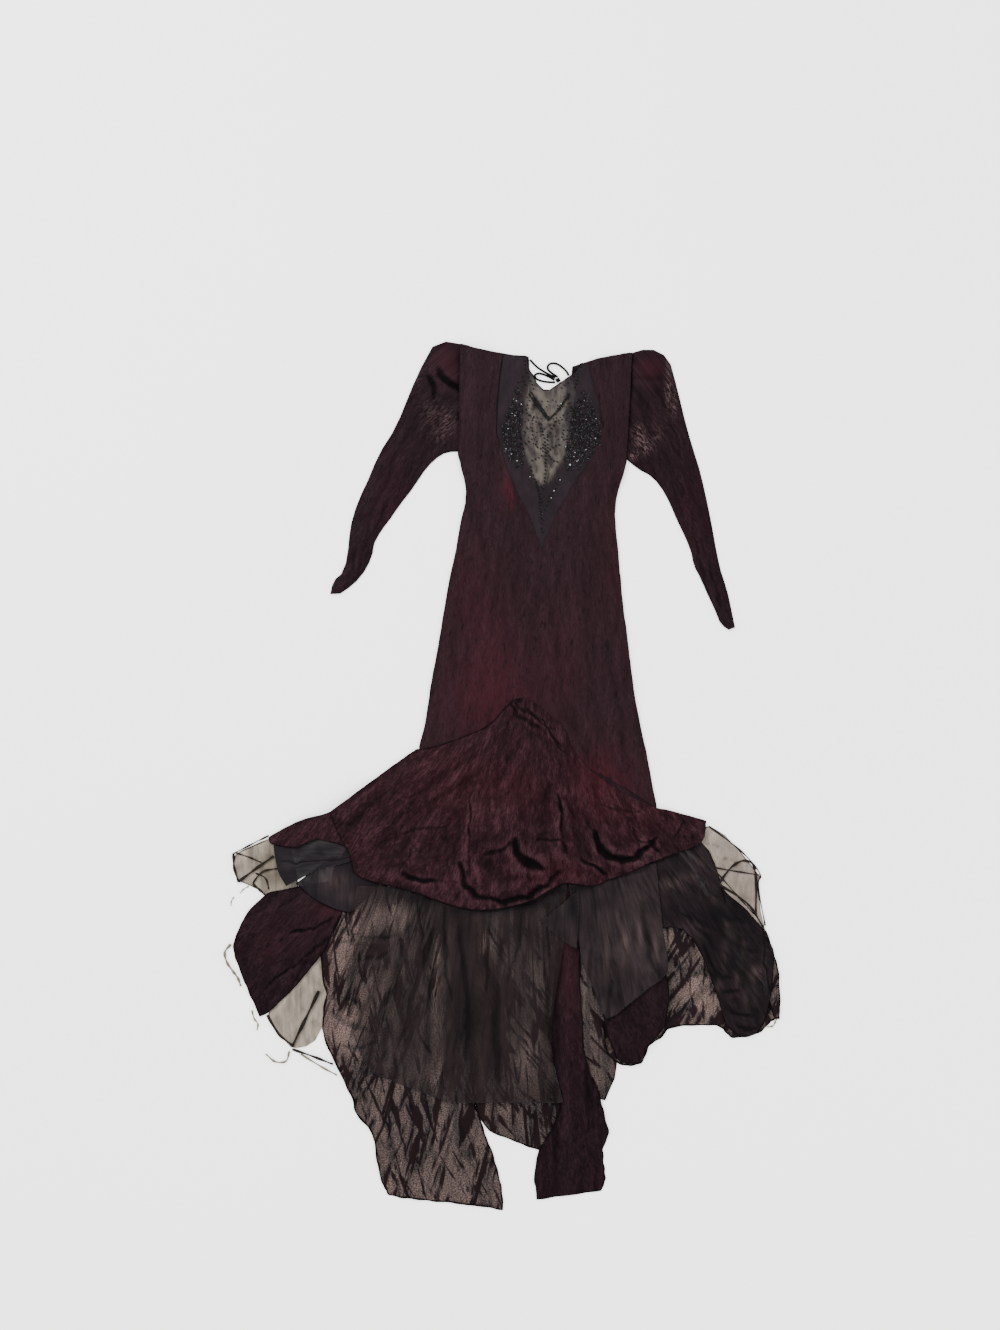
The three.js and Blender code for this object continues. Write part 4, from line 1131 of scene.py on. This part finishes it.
STRIP_CREASES = [
    (262, 905, 330, 868, -1.4, 5, -3, 0),
    (254, 930, 352, 880, 1.2, 6, -3, 0),
    (291, 932, 304, 930, -1.8, 2.0, 0, 1.0),
    (300, 932, 334, 917, -1.4, 1.6, 1, 0.8),
    (322, 940, 352, 926, -1.4, 1.8, 2, 0.5),
    (266, 988, 300, 962, -1.4, 1.8, -2, 0.6),
    (300, 962, 330, 938, -1.2, 1.8, -1, 0.5),
    (276, 1000, 330, 930, 1.4, 5, -4, 0),
    (248, 960, 282, 900, 1.0, 5, -3, 0),
    (290, 972, 300, 985, -1.4, 2.4, 0, 0),
    (266, 1010, 296, 960, -1.1, 4, -3, 0),
]
# Painted shade in two small pits beside the neck.
sheet_piece("back_panel", BURGUNDY, 6, BODY_GRAIN, [(0.5, 9, 60, 1.2)],
            [(572, 364, 577, 376, -0.1, 4.0, 0, 0.9), (526, 352, 529, 366, -0.1, 3.0, 0, 0.8)],
            hem=(PLUM_HEM, 0.0006), seed=3)
sheet_piece("front_yoke", CHIFFON, 6, straight, [(0.35, 14, 26, 1.0), (0.2, 7, 9, 1.0)],
            [(528, 392, 548, 424, -0.6, 2.2, 2, 0), (568, 392, 550, 424, -0.6, 2.2, -2, 0)],
            [(588, 425, 9, 34, 0.3), (508, 425, 8, 34, 0.3)],
            [(547, 402, 9.4, 13, 60), (546, 438, 8.6, 13.5, 200), (544, 464, 5.4, 8.8, 100)],
            hem=(DARK_HEM, 0.0013, lambda a, d: 515 < a < 583 and d < 393), seed=4)
# The front's redder patches are painted highlights where light catches the crinkle, the brightest a streak
# below the yoke; its darkest crease carries painted shade.
sheet_piece(
    "front_panel", BURGUNDY, 9, BODY_GRAIN,
    [(0.55, 7, 46, 1.3), (0.6, 16, 110, 1.2), (0.25, 4.5, 18, 1.0)],
    FRONT_CREASES,
    [(508, 488, 2.2, 8, 0.7), (511.5, 500, 1.9, 8, 0.85), (505, 488, 6, 20, 0.22),
     (488, 705, 45, 46, 0.34), (470, 600, 26, 60, 0.14),
     (600, 782, 34, 36, 0.42), (618, 800, 20, 16, 0.2), (622, 560, 30, 90, 0.1), (562, 660, 26, 60, 0.12),
     (500, 640, 30, 60, 0.14)],
    hem=(PLUM_HEM, 0.0009, lambda a, d: abs(a - 545) > 75), seed=5,
)
# The sleeves' redder patches are partly the pads' lining showing through at the sleeve heads and partly
# painted highlight; their pale places are thin mesh and painted glints on crease edges.
for side, path, creases, tone_and_light_patches, thin_and_glint_places in (
    ("left", SLEEVE_LEFT_PATH, SLEEVE_LEFT_CREASES,
     [(449, 364, 14, 17, 0.34), (392, 500, 20, 40, 0.12)],
     [(431, 412, 9, 12, 0.25), (447, 420, 8, 12, 0.4), (418, 372, 3, 12, 0.35), (440, 434, 8, 7, 0.28)]),
    ("right", SLEEVE_RIGHT_PATH, SLEEVE_RIGHT_CREASES,
     [(650, 368, 14, 11, 0.34), (690, 520, 16, 40, 0.12)],
     [(639, 436, 5, 10, 1.0), (646, 447, 5, 7, 0.8), (632, 456, 6, 4, 0.9), (668, 384, 3, 22, 0.8),
      (674, 404, 2.5, 14, 0.6), (657, 436, 6, 10, 0.3)]),
):
    sheet_piece(
        "sleeve_" + side, BURGUNDY_SLEEVE, 6, path,
        [(0.5, 7, 40, 1.3), (0.6, 13, 70, 1.2), (0.25, 4.5, 16, 1.0)],
        creases, tone_and_light_patches, thin_and_glint_places, hem=(PLUM_HEM, 0.0006), tube=True, passes=14, seed=21,
    )


def seen_on_flounce(across, down):
    """The seam is a fine line left of its peak and turns under right of it; the hem shows all along."""
    return down > 0.42 * (across - 521) + 772 if across > 521 else True


# The flounce's redder patches are partly its own redder tone and partly painted highlight; its dark
# creases, under the gathers and along the hem, carry painted shade.
sheet_piece(
    "flounce_front", BURGUNDY_FLOUNCE, 6, FLOUNCE_GRAIN,
    [(0.8, 8, 26, 1.2), (1.5, 22, 60, 1.1), (0.45, 5, 11, 1.0)],
    FLOUNCE_CREASES,
    [(462, 785, 50, 34, 0.16), (596, 778, 24, 34, 0.34), (520, 790, 30, 22, 0.16), (560, 872, 40, 14, 0.2),
     (640, 815, 40, 18, 0.14)],
    hem=(DARK_HEM, 0.0011, seen_on_flounce), seed=31, ragged=0.0016, passes=8,
)
sheet_piece("flounce_under", BURGUNDY_FLOUNCE, 6, fan((420, 700), 160),
            [(0.5, 8, 30, 1.2), (0.4, 16, 40, 1.0)], hem=(DARK_HEM, 0.0011), seed=33, ragged=0.002)

# Where the skirt's mesh shows brightest, where the sheers over it are thin, and where they are dark,
# partly from painted shade such as the shadow under the flounce hem and partly from darker cloth beneath,
# as soft patches: across, down, reach across, reach down, strength
LIT = [
    (392, 915, 24, 17, 0.9), (352, 936, 15, 24, 0.9), (352, 984, 18, 22, 1.0), (344, 1030, 20, 26, 1.0),
    (438, 985, 9, 56, 0.9), (434, 1072, 9, 18, 0.5), (366, 1108, 16, 26, 0.35), (441, 1132, 15, 28, 0.3),
    (480, 1150, 14, 20, 0.3), (392, 1150, 10, 22, 0.2), (487, 942, 7, 17, 0.9), (540, 972, 10, 26, 0.9),
    (528, 1052, 17, 42, 0.95), (529, 1124, 12, 14, 0.8), (506, 1110, 10, 8, 0.4), (420, 1000, 7, 20, 0.3),
    (585, 1008, 5, 34, 1.0), (598, 1080, 5, 16, 0.5), (408, 1195, 40, 26, 0.5), (455, 1190, 30, 24, 0.6),
    (388, 1000, 18, 50, 0.5), (515, 960, 10, 34, 0.5), (470, 955, 8, 20, 0.4),
]
LIT_RIGHT = [
    (664, 940, 9, 11, 1.0), (700, 950, 5, 9, 1.0), (694, 990, 24, 18, 1.0), (712, 1006, 14, 14, 0.9),
    (625, 1052, 8, 8, 0.5), (773, 970, 5, 30, 0.3), (774, 1014, 4, 6, 0.9),
]
THIN_VEIL = [
    (392, 918, 24, 17, 1.5), (352, 930, 14, 24, 1.5), (354, 984, 17, 22, 2.0), (345, 1024, 16, 26, 2.0),
    (438, 985, 8, 52, 1.5), (434, 1072, 9, 16, 1.2), (487, 942, 7, 15, 1.5), (540, 972, 10, 24, 1.2),
    (527, 1052, 16, 38, 0.9), (506, 950, 8, 18, 0.4), (385, 1010, 10, 30, 0.35),
]
# Painted shade on the veils, such as the shadow under the flounce hem, and the darker plum beneath.
DARK_VEIL = [
    (470, 1020, 10, 60, 0.8), (456, 1000, 6, 50, 0.4), (412, 1010, 9, 44, 0.4), (381, 1030, 9, 22, 0.4),
    (556, 890, 26, 7, 0.9),
    (455, 912, 16, 10, 0.3), (512, 930, 8, 12, 0.35), (400, 888, 26, 8, 0.6), (556, 925, 12, 14, 0.5),
    (425, 899, 34, 6, 0.7), (490, 908, 46, 6, 0.8), (530, 902, 26, 6, 0.8),
]
LIT_ORGANZA = [
    (624, 944, 5, 22, 0.55), (640, 930, 4, 20, 0.5), (607, 952, 4, 24, 0.35), (655, 950, 4, 22, 0.5),
    (668, 883, 12, 7, 0.5), (686, 878, 10, 6, 0.3), (702, 862, 10, 8, 0.2), (755, 972, 5, 6, 1.0),
    (735, 935, 7, 6, 0.35), (716, 985, 6, 12, 0.3), (748, 1000, 6, 14, 0.3), (690, 925, 9, 8, 0.25),
    (727, 925, 3, 16, 0.5), (742, 950, 3, 14, 0.45), (712, 900, 4, 10, 0.35), (723, 962, 3, 13, 0.4),
    (736, 978, 3, 10, 0.5),
]
# Painted shade on the organzas, such as the shadow under the flounce hem, and darker patches.
DARK_ORGANZA = [
    (572, 905, 7, 18, 0.75), (606, 902, 16, 10, 0.35), (582, 887, 16, 5, 0.8), (715, 912, 34, 10, 0.75),
    (742, 932, 22, 22, 0.55), (706, 950, 10, 16, 0.5), (725, 970, 14, 14, 0.5), (556, 914, 9, 12, 0.5),
    (640, 882, 12, 8, 0.3), (744, 1015, 18, 14, 0.45), (652, 905, 8, 10, 0.4),
]
sheet_piece("net_left", NET_LEFT, 5, straight, [(0.3, 16, 30, 1.0)],
            tone_and_light_patches=[(272, 878, 12, 12, 0.35), (270, 856, 6, 12, 0.3)], hem=(NET_HEM, 0.0011), seed=41)
sheet_piece("net_lower_left", NET_LEFT, 5, straight, [(0.3, 16, 30, 1.0)],
            hem=(NET_HEM, 0.0012, lambda a, d: d < 1040 and a < 300), seed=42)
sheet_piece("net_right", NET, 5, straight, [(0.3, 16, 30, 1.0)],
            [(704, 842, 722, 846, -0.4, 0.9, 0, 0.4), (714, 856, 738, 862, -0.4, 0.8, 0, 0.35)],
            [(722, 862, 12, 7, 0.16), (742, 884, 12, 7, 0.16), (740, 898, 12, 5, 0.25)],
            hem=(NET_HEM, 0.0008), seed=43)
for side, material, radius, seed, ragged in (
    ("left", MESH_LEFT, 0.0019, 51, 0.0045), ("centre", MESH_CENTRE, 0.0017, 52, 0.002),
):
    sheet_piece("mesh_" + side, material, 8, SKIRT, [(0.6, 12, 60, 1.2), (0.8, 30, 120, 1.1)],
                SKIRT_CREASES, thin_and_glint_places=LIT, hem=(DARK_HEM, radius), seed=seed, ragged=ragged)
sheet_piece("mesh_right_centre", MESH_CENTRE, 8, SKIRT,
            [(0.8, 9, 70, 1.2), (0.8, 20, 140, 1.1)], SKIRT_CREASES, thin_and_glint_places=LIT,
            hem=(DARK_HEM, 0.0012), seed=53, ragged=0.003)
sheet_piece("mesh_right", MESH_RIGHT, 7, RIGHT_SKIRT,
            [(0.7, 12, 60, 1.2), (0.8, 26, 90, 1.1)], SKIRT_CREASES, thin_and_glint_places=LIT_RIGHT,
            hem=(DARK_HEM, 0.0018), seed=54, ragged=0.004)
sheet_piece("mesh_far_right", MESH_RIGHT, 8, straight, [(0.6, 10, 30, 1.2)],
            thin_and_glint_places=LIT_RIGHT, hem=(DARK_HEM, 0.0016), seed=55, ragged=0.002)
# The plum strips' lighter patches are painted highlights on their folds.
sheet_piece("strip_left", PLUM, 8, fan((400, 800), 150),
            [(0.5, 8, 50, 1.2), (0.8, 22, 70, 1.1)], STRIP_CREASES,
            [(300, 935, 40, 20, 0.10), (332, 908, 18, 9, 0.3), (268, 950, 14, 18, 0.12)],
            hem=(DARK_HEM, 0.0013), seed=61, ragged=0.003)
sheet_piece("strip_centre", PLUM, 8, SKIRT, [(0.5, 8, 60, 1.2), (0.7, 20, 90, 1.1)],
            SKIRT_CREASES, [(569, 966, 9, 40, 0.3), (574, 1040, 14, 60, 0.06)],
            hem=(DARK_HEM, 0.0013), seed=62, ragged=0.003)
sheet_piece("plum_right", PLUM, 8, RIGHT_SKIRT, [(0.5, 9, 40, 1.2), (0.6, 20, 60, 1.1)],
            SKIRT_CREASES, hem=(DARK_HEM, 0.0014), seed=63, ragged=0.003)
sheet_piece("organza_left_lower", ORGANZA_LEFT, 8, straight, [(0.3, 14, 30, 1.0)],
            [(300, 880, 350, 900, 0.7, 6, 3, 0)], [(374, 886, 12, 14, 0.5)],
            [(334, 880, 16, 10, 0.55), (350, 896, 12, 8, 0.35)], hem=(DARK_HEM, 0.0011), seed=71)
sheet_piece("organza_left_upper", ORGANZA_LEFT, 8, fan((420, 860), 110), [(0.25, 20, 60, 1.0)],
            [(282, 862, 318, 860, -0.8, 1.4, 1, 0.8), (316, 861, 350, 858, -0.8, 1.4, 0, 0.4)],
            hem=(GREY_HEM, 0.0007), seed=72)
for side, hem, seed in (
    ("left", (GREY_HEM, 0.0006, lambda a, d: d > 1030), 73),
    ("centre", (GREY_HEM, 0.0008, lambda a, d: d > 1070), 74),
):
    sheet_piece("veil_" + side, VEIL, 7, SKIRT, [(0.5, 12, 90, 1.1), (0.8, 34, 160, 1.0)],
                SKIRT_CREASES, DARK_VEIL, THIN_VEIL, hem=hem, seed=seed)
sheet_piece("organza_outer", ORGANZA_DARK, 7, RIGHT_SKIRT,
            [(0.9, 10, 40, 1.1), (1.2, 24, 60, 1.0)], SKIRT_CREASES, DARK_ORGANZA, LIT_ORGANZA,
            hem=(DARK_HEM, 0.0011), seed=75, ragged=0.002)
sheet_piece("organza_right", ORGANZA, 7, RIGHT_SKIRT, [(0.5, 8, 60, 1.1), (0.6, 22, 80, 1.0)],
            [(628, 868, 670, 915, 1.2, 1.4, 0, 0), *SKIRT_CREASES], DARK_ORGANZA, LIT_ORGANZA,
            hem=(GREY_HEM, 0.0007), seed=76)
sheet_piece("organza_fold", ORGANZA, 8, RIGHT_SKIRT, [(0.4, 10, 30, 1.1)], (), DARK_ORGANZA,
            LIT_ORGANZA, hem=(GREY_HEM, 0.0007), seed=77)

# Rolled hems and twisted strands of the nets: radius in mm, colour, height of what they lie on in mm,
# then places along the line
STRANDS_OF_NET = [
    (1.4, NET_HEM, 1.3, [(269, 835.4), (252, 844), (234.3, 853.2)]),
    (2.0, NET_HEM, 1.3, [(233.6, 853), (234, 866), (238.4, 881.8)]),
    (2.2, NET_HEM, 1.4, [(238.4, 881.8), (254, 870), (273.6, 855.9)]),
    (1.3, NET_HEM, 2.0, [(235, 852.3), (248.6, 856.8), (261, 862)]),
    (1.4, NET_HEM, 2.2, [(253, 883), (262, 872), (280, 867.5)]),
    (2.0, NET_HEM, 1.4, [(253, 883.6), (259, 889), (264.6, 894.3)]),
    (1.3, NET_HEM, 1.6, [(255.7, 872.9), (265.5, 878), (269, 889)]),
    (1.0, BEIGE_HEM, 0.2, [(249, 886), (244, 889), (240, 893)]),
    (1.0, BEIGE_HEM, 0.2, [(234, 897), (231.5, 901), (231, 906)]),
    (2.1, NET_HEM, 1.3, [(267.3, 1014.8), (278, 1033), (291.4, 1044.3)]),
    (2.7, NET_HEM, 1.5, [(319, 990.7), (306, 1018), (292.3, 1046)]),
    (2.1, NET_HEM, 0.6, [(292.3, 1048.9), (314, 1056.5), (333, 1064)]),
    (1.6, BEIGE_HEM, 0.2, [(301, 1054), (321.6, 1066.7), (337, 1075)]),
    (1.6, BEIGE_HEM, 0.2, [(289.5, 1051), (286, 1061), (275.7, 1061.6), (266, 1054)]),
    (2.1, BEIGE_HEM, 0.2, [(231, 944), (225, 952), (227, 962), (233, 971), (238, 978), (241, 986)]),
    (1.4, BEIGE_HEM, 0.2, [(252, 1010), (254, 1018), (258, 1024), (257, 1030)]),
    (1.4, NET_HEM, 1.3,
     [(708.6, 826), (736.4, 847), (751.7, 862.3), (760.3, 875.7), (758, 883), (765, 925.4)]),
    (2.1, NET_HEM, 1.5,
     [(718, 884), (732.5, 866), (744, 860.4), (752.6, 864), (755.5, 876), (755.5, 914)]),
    (1.2, NET_HEM, 2.3, [(712.4, 867), (734.4, 870.9), (759, 874.7)]),
    (1.0, NET_HEM, 2.6, [(718, 873.7), (735, 893), (753.6, 913.9)]),
    (1.8, NET_HEM, 2.0, [(719, 884), (747.8, 904), (763, 927)]),
    (1.3, BEIGE_HEM, 0.3, [(777.5, 1017), (775.6, 1021), (772.7, 1025.8), (767, 1026.8)]),
]
for colour_name, colour_material in (("net", NET_HEM), ("beige", BEIGE_HEM)):
    lines = []
    for radius, colour, height, places in STRANDS_OF_NET:
        if colour is not colour_material:
            continue
        line = smooth_route([(*spot(a, d), (radius + height) / 1000) for a, d in places], 8)
        lines.append([
            resting(place, radius / 1000 * (1.0 + 0.35 * math.sin(k * 0.8)), 1.05)
            for k, place in enumerate(line)
        ])
    name = "rolled_strands_" + colour_name
    laid(name, tube_mesh(name, lines, 6), colour_material)

# Shoulder pads, as soft cushions inside the sleeve heads
for side in ("left", "right"):
    node = "shoulder_pad_" + side
    pad = whole_wall(node)
    bmesh.ops.subdivide_edges(pad, edges=pad.edges[:], cuts=1, use_grid_fill=True)
    for _ in range(3):
        bmesh.ops.smooth_vert(
            pad, verts=pad.verts[:], factor=0.4, use_axis_x=True, use_axis_y=True, use_axis_z=True
        )
    mesh = bpy.data.meshes.new(node + "_foam")
    pad.to_mesh(mesh)
    pad.free()
    mesh.shade_smooth()
    laid(node + "_foam", mesh, FOAM, node)

# Ties and their knot
for name, route in TIES.items():
    places = [(TIE_ORIGIN[0] + a / 1000, TIE_ORIGIN[1] - d / 1000, TIE_HEIGHT) for a, d in route]
    points = smooth_route(places, 5)
    curve = bpy.data.curves.new(name + "_cord", "CURVE")
    curve.dimensions = "3D"
    curve.bevel_depth = TIE_DRAWN_RADIUS
    curve.bevel_resolution = 3
    curve.use_fill_caps = True
    spline = curve.splines.new("POLY")
    spline.points.add(len(points) - 1)
    for point, place in zip(spline.points, points):
        point.co = (*place, 1)
    cord = laid(name + "_cord", curve, TIE, name)
    length = sum((b - a).length for a, b in zip(points, points[1:]))

# The knot is four turns of the tie: the turn's tilt, and its offset as a share of the knot's half width.
centre, half = (KNOT_LOW + KNOT_HIGH) / 2, (KNOT_HIGH - KNOT_LOW) / 2
KNOT_RADIUS = 0.0014
TURN_STEPS = 16
wraps = []
for tilt, offset in ((0.5, -0.45), (0.5, 0.0), (0.5, 0.45), (-0.9, 0.0)):
    ring = []
    for step in range(TURN_STEPS + 1):
        angle = 2 * math.pi * step / TURN_STEPS
        local = Vector((offset * half.x, math.cos(angle) * half.y * 0.62, math.sin(angle) * half.z * 0.5))
        turned = Vector((
            local.x * math.cos(tilt) - local.y * math.sin(tilt),
            local.x * math.sin(tilt) + local.y * math.cos(tilt),
            local.z,
        ))
        ring.append((centre + turned, KNOT_RADIUS))
    ring[-1] = ring[0]
    wraps.append(ring)
laid("neck_tie_knot_wraps", tube_mesh("neck_tie_knot_wraps", wraps, 8), TIE, "neck_tie_knot")

# Beads
bpy.context.view_layer.update()
cloths = [bpy.data.objects[node + "_cloth"].data for node in ("front_yoke", "front_panel", "back_panel")]
cloth_tree = joined_tree(
    ([v.co.copy() for v in mesh.vertices], [tuple(p.vertices) for p in mesh.polygons]) for mesh in cloths
)
chance = random.Random(7)
BEAD_MATERIAL = {"jet": JET, "crystal": CRYSTAL, "steel": STEEL_BEAD}
bead_sets = {kind: [] for kind in BEAD_MATERIAL}
# Beads are a little flatter than round, and lie on their flat side.
BEAD_FLATNESS = 0.9
# A bead on a strand lies up to this many units off its line.
STRAND_PLAY = 0.25


def drop_bead(kind, across, down, size, long=1.0):
    """A bead of that diameter in mm, resting on the cloth."""
    x, y = spot(across, down)
    hit = cloth_tree.ray_cast(Vector((x, y, 0.1)), Vector((0, 0, -1)), 0.2)
    radius = size * 0.0005
    height = (hit[0].z if hit[0] is not None else LEAST_HEIGHT) + radius * BEAD_FLATNESS
    bead_sets[kind].append((Vector((x, y, height)), radius, long))


def strand(points, spacing, size):
    """Jet beads along a line over the cloth."""
    line = smooth_route([(a, d, 0) for a, d in points], 12)
    gone = spacing
    for a, b in zip(line, line[1:]):
        gone += (b - a).length
        if gone >= spacing:
            gone = 0
            across = b.x + chance.uniform(-STRAND_PLAY, STRAND_PLAY)
            down = b.y + chance.uniform(-STRAND_PLAY, STRAND_PLAY)
            drop_bead("jet", across, down, size)


# Dense sides of the yoke: rows of down, from across, to across, share of places filled
CLUSTERS = [
    (386, 516, 522, 0.35), (394, 514, 522, 0.55), (402, 512, 523, 0.75), (410, 509, 523, 0.9),
    (418, 505, 523, 1.0), (426, 502, 522, 1.0), (434, 502, 521, 1.0), (442, 503, 522, 0.95),
    (450, 504, 524, 0.8), (458, 508, 524, 0.6), (465, 514, 523, 0.4),
    (394, 580, 589, 0.4), (402, 575, 591, 0.6), (410, 571, 594, 0.85), (418, 570, 597, 1.0),
    (426, 570, 600, 1.0), (434, 569, 601, 1.0), (442, 567, 600, 1.0), (450, 565, 595, 0.9),
    (458, 563, 590, 0.7), (466, 566, 581, 0.4),
]
ROW_DEPTH = 8
BEAD_AREA = 2.3
for down, start, end, share in CLUSTERS:
    for _ in range(int((end - start) * ROW_DEPTH / BEAD_AREA * share)):
        kind = "jet" if chance.random() < 0.70 else "steel" if chance.random() < 0.95 else "crystal"
        across = chance.uniform(start, end)
        in_row = chance.uniform(-ROW_DEPTH / 2, ROW_DEPTH / 2)
        drop_bead(kind, across, down + in_row, chance.uniform(2.0, 3.2))
# Single rows: places along the row, spacing in units, bead size in mm
STRANDS = [
    ([(528, 393), (538, 408), (548, 421)], 1.0, 3.4),
    ([(530, 391), (541, 407), (549, 419)], 1.0, 3.4),
    ([(532, 397), (542, 411), (548, 419)], 1.0, 3.0),
    ([(570, 393), (560, 408), (549, 420)], 1.1, 3.4),
    ([(568, 396), (560, 406), (550, 419)], 1.5, 3.2),
    ([(539, 424), (543, 434), (545, 443)], 3.4, 4.2),
    ([(557, 421), (550, 432), (546, 443)], 3.4, 4.2),
    ([(545, 444), (545.5, 465), (544, 487)], 2.7, 3.8),
    ([(543, 444), (542.5, 452)], 2.7, 3.6),
    ([(547.5, 444), (548, 452)], 2.7, 3.6),
    ([(521, 424), (530, 420), (540, 424)], 3.4, 3.2),
    ([(573, 424), (563, 420), (555, 422)], 3.4, 3.2),
    ([(530, 400), (526, 412), (534, 418)], 3.6, 3.4),
    ([(567, 398), (571, 410), (562, 416)], 3.6, 3.4),
    ([(524, 432), (531, 428), (532, 438), (526, 444)], 3.4, 3.4),
    ([(571, 432), (564, 430), (562, 438), (568, 443)], 3.4, 3.4),
    ([(541, 449), (537, 447), (535, 442)], 3.2, 4.0),
    ([(550, 450), (555, 446), (560, 445)], 3.2, 4.0),
    ([(542, 456), (536, 459), (530, 461)], 3.2, 4.0),
    ([(549, 456), (552, 460), (560, 463)], 3.2, 4.0),
    ([(530, 466), (534, 478), (539, 492), (541, 502)], 3.6, 3.6),
    ([(536, 480), (539, 498), (541, 516)], 2.8, 3.2),
    ([(560, 478), (553, 492), (547, 504), (543, 514)], 4.2, 3.4),
    ([(542, 488), (543, 489)], 0.8, 4.6),
    ([(541, 517), (541, 533)], 4.6, 3.4),
    ([(524, 360), (526, 372), (531, 382), (534, 391)], 3.8, 3.4),
    ([(581, 366), (574, 376), (566, 384), (560, 390)], 3.8, 3.4),
    ([(522, 376), (526, 388)], 3.4, 3.2),
    ([(578, 376), (574, 390)], 3.4, 3.2),
]
for points, spacing, size in STRANDS:
    strand(points, spacing, size)
# Larger single beads: across, down, kind, size in mm, how much longer than wide
for across, down, kind, size, long in (
    (517, 466, "jet", 4.4, 1.6), (517, 461, "crystal", 3.0, 1.0), (570, 465, "crystal", 4.4, 1.0),
    (570, 469, "jet", 4.6, 1.5), (560, 480, "crystal", 3.2, 1.0), (554, 491, "crystal", 3.4, 1.0),
    (551, 498, "crystal", 2.8, 1.0), (543, 514, "crystal", 3.2, 1.0), (542, 520, "jet", 4.4, 1.3),
    (541, 487, "jet", 4.4, 1.3), (561, 404, "crystal", 2.8, 1.0), (508, 429, "crystal", 2.8, 1.0),
    (506, 449, "crystal", 2.6, 1.0), (586, 450, "crystal", 2.8, 1.0), (584, 401, "crystal", 2.6, 1.0),
    (586, 420, "crystal", 2.4, 1.0), (530, 477, "crystal", 2.6, 1.0), (542, 532, "jet", 3.4, 1.2),
):
    drop_bead(kind, across, down, size, long)
# A loose scatter of jet inside the V
for _ in range(70):
    drop_bead("jet", chance.uniform(524, 570), chance.uniform(394, 446), 2.6)

for kind, beads in bead_sets.items():
    whole = bmesh.new()
    for place, radius, long in beads:
        made = bmesh.ops.create_icosphere(whole, subdivisions=1, radius=radius)
        spin = chance.uniform(0, math.pi)
        for vert in made["verts"]:
            x, y, z = vert.co
            vert.co = Vector((
                x * math.cos(spin) - y * math.sin(spin),
                (x * math.sin(spin) + y * math.cos(spin)) * long,
                z * BEAD_FLATNESS,
            )) + place
    mesh = bpy.data.meshes.new("beads_" + kind)
    whole.to_mesh(mesh)
    whole.free()
    laid("beads_" + kind, mesh, BEAD_MATERIAL[kind])
